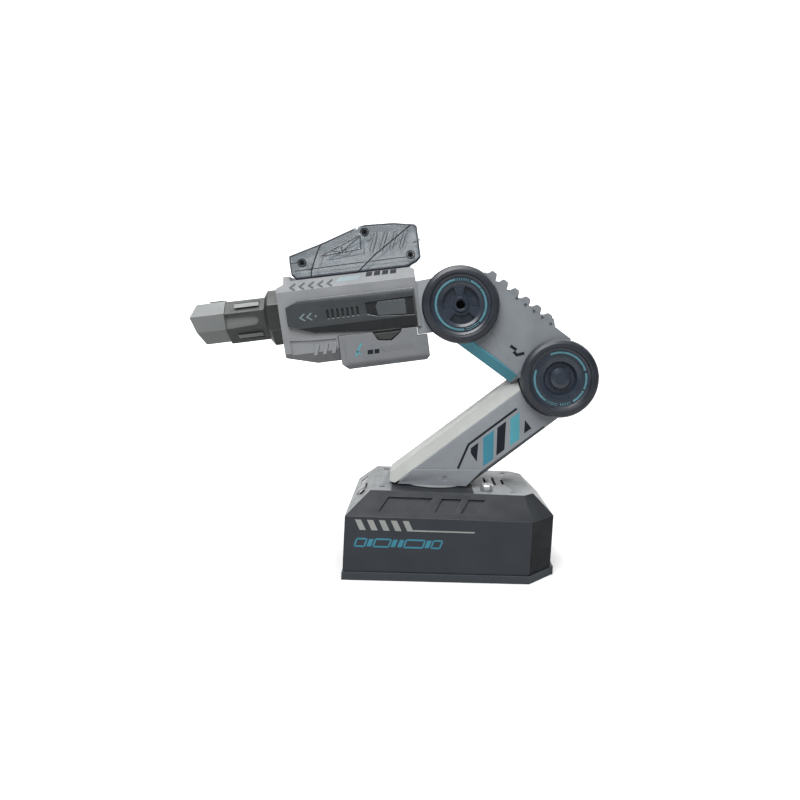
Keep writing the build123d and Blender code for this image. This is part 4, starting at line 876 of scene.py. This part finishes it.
def module_graphics():
    teal = []
    black = []
    hatch = []
    border = []
    for side in SIDES:
        plane = head_side(side)
        teal += [(plane, MODULE_FACE, outline) for outline in MODULE_STROKES]
        black += [(plane, MODULE_FACE, outline) for outline in MODULE_BLOCKS]
        for u in places(HATCH):
            slant = [(u, -34.6), (u - 1.2, -34.6), (u + 2.4, -29.6), (u + 3.6, -29.6)]
            hatch.append((plane, MODULE_FACE, slant))
        border.append((plane, MODULE_FACE, stroke(MODULE_BORDER, MODULE_BORDER_WIDTH)))
    printed("module_print_teal", "print_teal", "battery_module", teal)
    printed("module_print_black", "print_black", "battery_module", black)
    printed("module_hatch", "muzzle_grey", "battery_module", hatch, 0.3)
    printed("module_border", "muzzle_grey", "battery_module", border, 0.35)


module_seal()
module_graphics()

# ---- hopper: black trim lines, dark outline painted as shade along the clear edges, raised truss and slots
HOPPER_FACE = 20.0
SHELL_BORDER_WIDTH = 1.6
LID_BORDER_WIDTH = 1.4
TRUSS_WIDTH = 1.2
SLOT_WIDTH = 3.0
SLOT_LINE = 0.7
TRIM = [
    ([(122.3, 72.3), (127.5, 64.0), (134.0, 50.5), (136.1, 41.9)], 1.0),
    ([(36.4, 80.6), (74.6, 56.2), (92.5, 42.0)], 1.0),
    ([(149.7, 49.8), (97.5, 50.9), (44.9, 51.2)], 0.6),
    ([(153.4, 57.4), (145.8, 57.4)], 0.7),
    ([(153.2, 46.8), (149.4, 42.2), (45.2, 42.2), (35.9, 45.8), (32.0, 49.8)], 1.3),
    ([(31.6, 64.1), (37.0, 64.1)], 0.9),
]
SHELL_BORDER = [
    (32.2, 64.0), (32.2, 50.2), (36.4, 46.5), (45.7, 43.4), (149.0, 43.4), (152.7, 47.2), (153.0, 58.2),
    (152.4, 63.5), (121.8, 71.6), (90.0, 81.8),
]
LID_BORDER = [(32.2, 65.4), (32.2, 77.8), (33.7, 79.7), (53.3, 83.1), (79.0, 84.2), (84.0, 83.5)]
SCREW_CENTRES = ((142.4, 56.8), (80.7, 78.6), (40.6, 52.9))
SCREW_RING = (3.1, 4.1)
SLOTS = {"count": 4, "first": 70.6, "pitch": -9.4}
TRUSS = [
    [(124.5, 60.6), (85.4, 76.2), (86.2, 63.6), (121.0, 61.0)],
    [(104.0, 68.4), (104.0, 62.4)],
    [(104.0, 62.6), (86.4, 74.4)],
    [(113.6, 64.8), (104.0, 62.6)],
]


def hopper_details():
    trim = []
    ribs = []
    border = []
    lid_border = []
    for side in SIDES:
        plane = head_side(side)
        border.append((plane, HOPPER_FACE, stroke(SHELL_BORDER, SHELL_BORDER_WIDTH)))
        lid_border.append((plane, HOPPER_FACE, stroke(LID_BORDER, LID_BORDER_WIDTH)))
        for u, v in SCREW_CENTRES:
            for start in (0, 180):
                trim.append((plane, HOPPER_FACE, arc_band(u, v, *SCREW_RING, start, start + 180)))
        trim += [(plane, HOPPER_FACE, stroke(line, width)) for line, width in TRIM]
        ribs += [(plane, HOPPER_FACE, stroke(line, TRUSS_WIDTH)) for line in TRUSS]
        for u in places(SLOTS):
            loop = capsule((u + 6.2, 61.0), (u, 75.0), SLOT_WIDTH)
            ribs.append((plane, HOPPER_FACE, stroke(loop + loop[:2], SLOT_LINE)))
    printed("hopper_trim", "print_black", "head", trim, 0.12)
    # painted shade: dark outline strokes along the clear shell's edges
    printed("hopper_border", "edge_smoke", "head", border, 0.08)
    lid_body = frame["nodes"]["hopper_lid"]["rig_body"]
    printed("lid_border", "edge_smoke", lid_body, lid_border, 0.08)
    printed("hopper_ribs", "clear_rib", "head", ribs, 0.4, 0.2)


hopper_details()


# ------------------------------------------------------------------ studio (metres)
SWEEP_COLUMNS = (-3.2, -1.0, 1.0, 3.2)
SWEEP_START = 0.9
SWEEP_RADIUS = 0.7
SWEEP_STEPS = 12


def make_sweep():
    """Seamless pale paper: a floor that curves up into a backdrop."""
    profile = [(-2.6, 0.0), (-1.0, 0.0), (0.0, 0.0), (SWEEP_START, 0.0)]
    for i in range(1, SWEEP_STEPS + 1):
        angle = math.pi / 2 * i / SWEEP_STEPS
        rise = SWEEP_RADIUS - SWEEP_RADIUS * math.cos(angle)
        profile.append((SWEEP_START + SWEEP_RADIUS * math.sin(angle), rise))
    profile += [(SWEEP_START + SWEEP_RADIUS, 2.0), (SWEEP_START + SWEEP_RADIUS, 3.4)]
    bm = bmesh.new()
    columns = []
    for x in SWEEP_COLUMNS:
        columns.append([bm.verts.new((x, y, z)) for y, z in profile])
    for left, right in zip(columns, columns[1:]):
        for k in range(len(profile) - 1):
            bm.faces.new((left[k], right[k], right[k + 1], left[k + 1]))
    for face in bm.faces:
        face.smooth = True
    bmesh.ops.recalc_face_normals(bm, faces=bm.faces)
    mesh = bpy.data.meshes.new("floor")
    bm.to_mesh(mesh)
    bm.free()
    g = Graph("floor_paper")
    tone = g.remap(g.noise(3.0, 3.0), 0.3, 0.7, 0.0, 1.0)
    g.join(g.mix(tone, rgb(178, 178, 178), rgb(181, 181, 181)), g.shader.inputs["Base Color"])
    g.shader.inputs["Roughness"].default_value = 0.85
    g.shader.inputs["Specular IOR Level"].default_value = 0.1
    mesh.materials.append(g.material)
    link(bpy.data.objects.new("floor", mesh))


def area_light(name, place, target, size, power, spread=180.0):
    """Rectangular softbox aimed at a target; power in watts, spread in degrees."""
    data = bpy.data.lights.new(name, "AREA")
    data.shape = "RECTANGLE"
    data.size, data.size_y = size
    data.energy = power
    data.spread = math.radians(spread)
    lamp = link(bpy.data.objects.new(name, data))
    lamp.location = place
    lamp.rotation_euler = (Vector(target) - Vector(place)).to_track_quat("-Z", "Y").to_euler()


WORLD_STRENGTH = 0.22


def make_studio():
    """Key at the front left, a big softbox overhead, and two lights that wash the backdrop."""
    world = bpy.data.worlds.new("studio")
    bpy.context.scene.world = world
    world.use_nodes = True
    background = world.node_tree.nodes["Background"]
    background.inputs["Color"].default_value = (1.0, 1.0, 1.0, 1.0)
    background.inputs["Strength"].default_value = WORLD_STRENGTH
    area_light("key", (-0.4, -1.1, 1.5), (0.0, 0.0, 0.2), (1.1, 1.1), 52.0)
    area_light("overhead", (0.0, -0.05, 1.5), (0.0, 0.0, 0.0), (1.6, 1.4), 50.0)
    for name, x in (("backdrop_left", -1.0), ("backdrop_right", 1.0)):
        area_light(name, (1.2 * x, 0.3, 2.2), (x, 1.6, 0.8), (1.2, 0.8), 50.0, 110.0)


make_sweep()
make_studio()

# ------------------------------------------------------------------ camera
CAMERA_PLACE = Vector((-39.7, -650.0, 235.0)) * MM
CAMERA_TURN = Euler((math.radians(84.767), math.radians(-3.455), math.radians(-4.882)))
LENS = 29.25
SHIFT = (-0.0946, -0.0170)


def make_camera():
    """Camera at the object's height, rolled a little as the view is."""
    data = bpy.data.cameras.new("camera")
    data.lens = LENS
    data.sensor_width = 36.0
    data.shift_x, data.shift_y = SHIFT
    data.clip_start = 0.01
    data.clip_end = 50.0
    camera = link(bpy.data.objects.new("camera", data))
    camera.location = CAMERA_PLACE
    camera.rotation_euler = CAMERA_TURN
    bpy.context.scene.camera = camera


make_camera()
bpy.context.scene.view_settings.view_transform = "Standard"

bpy.context.view_layer.update()
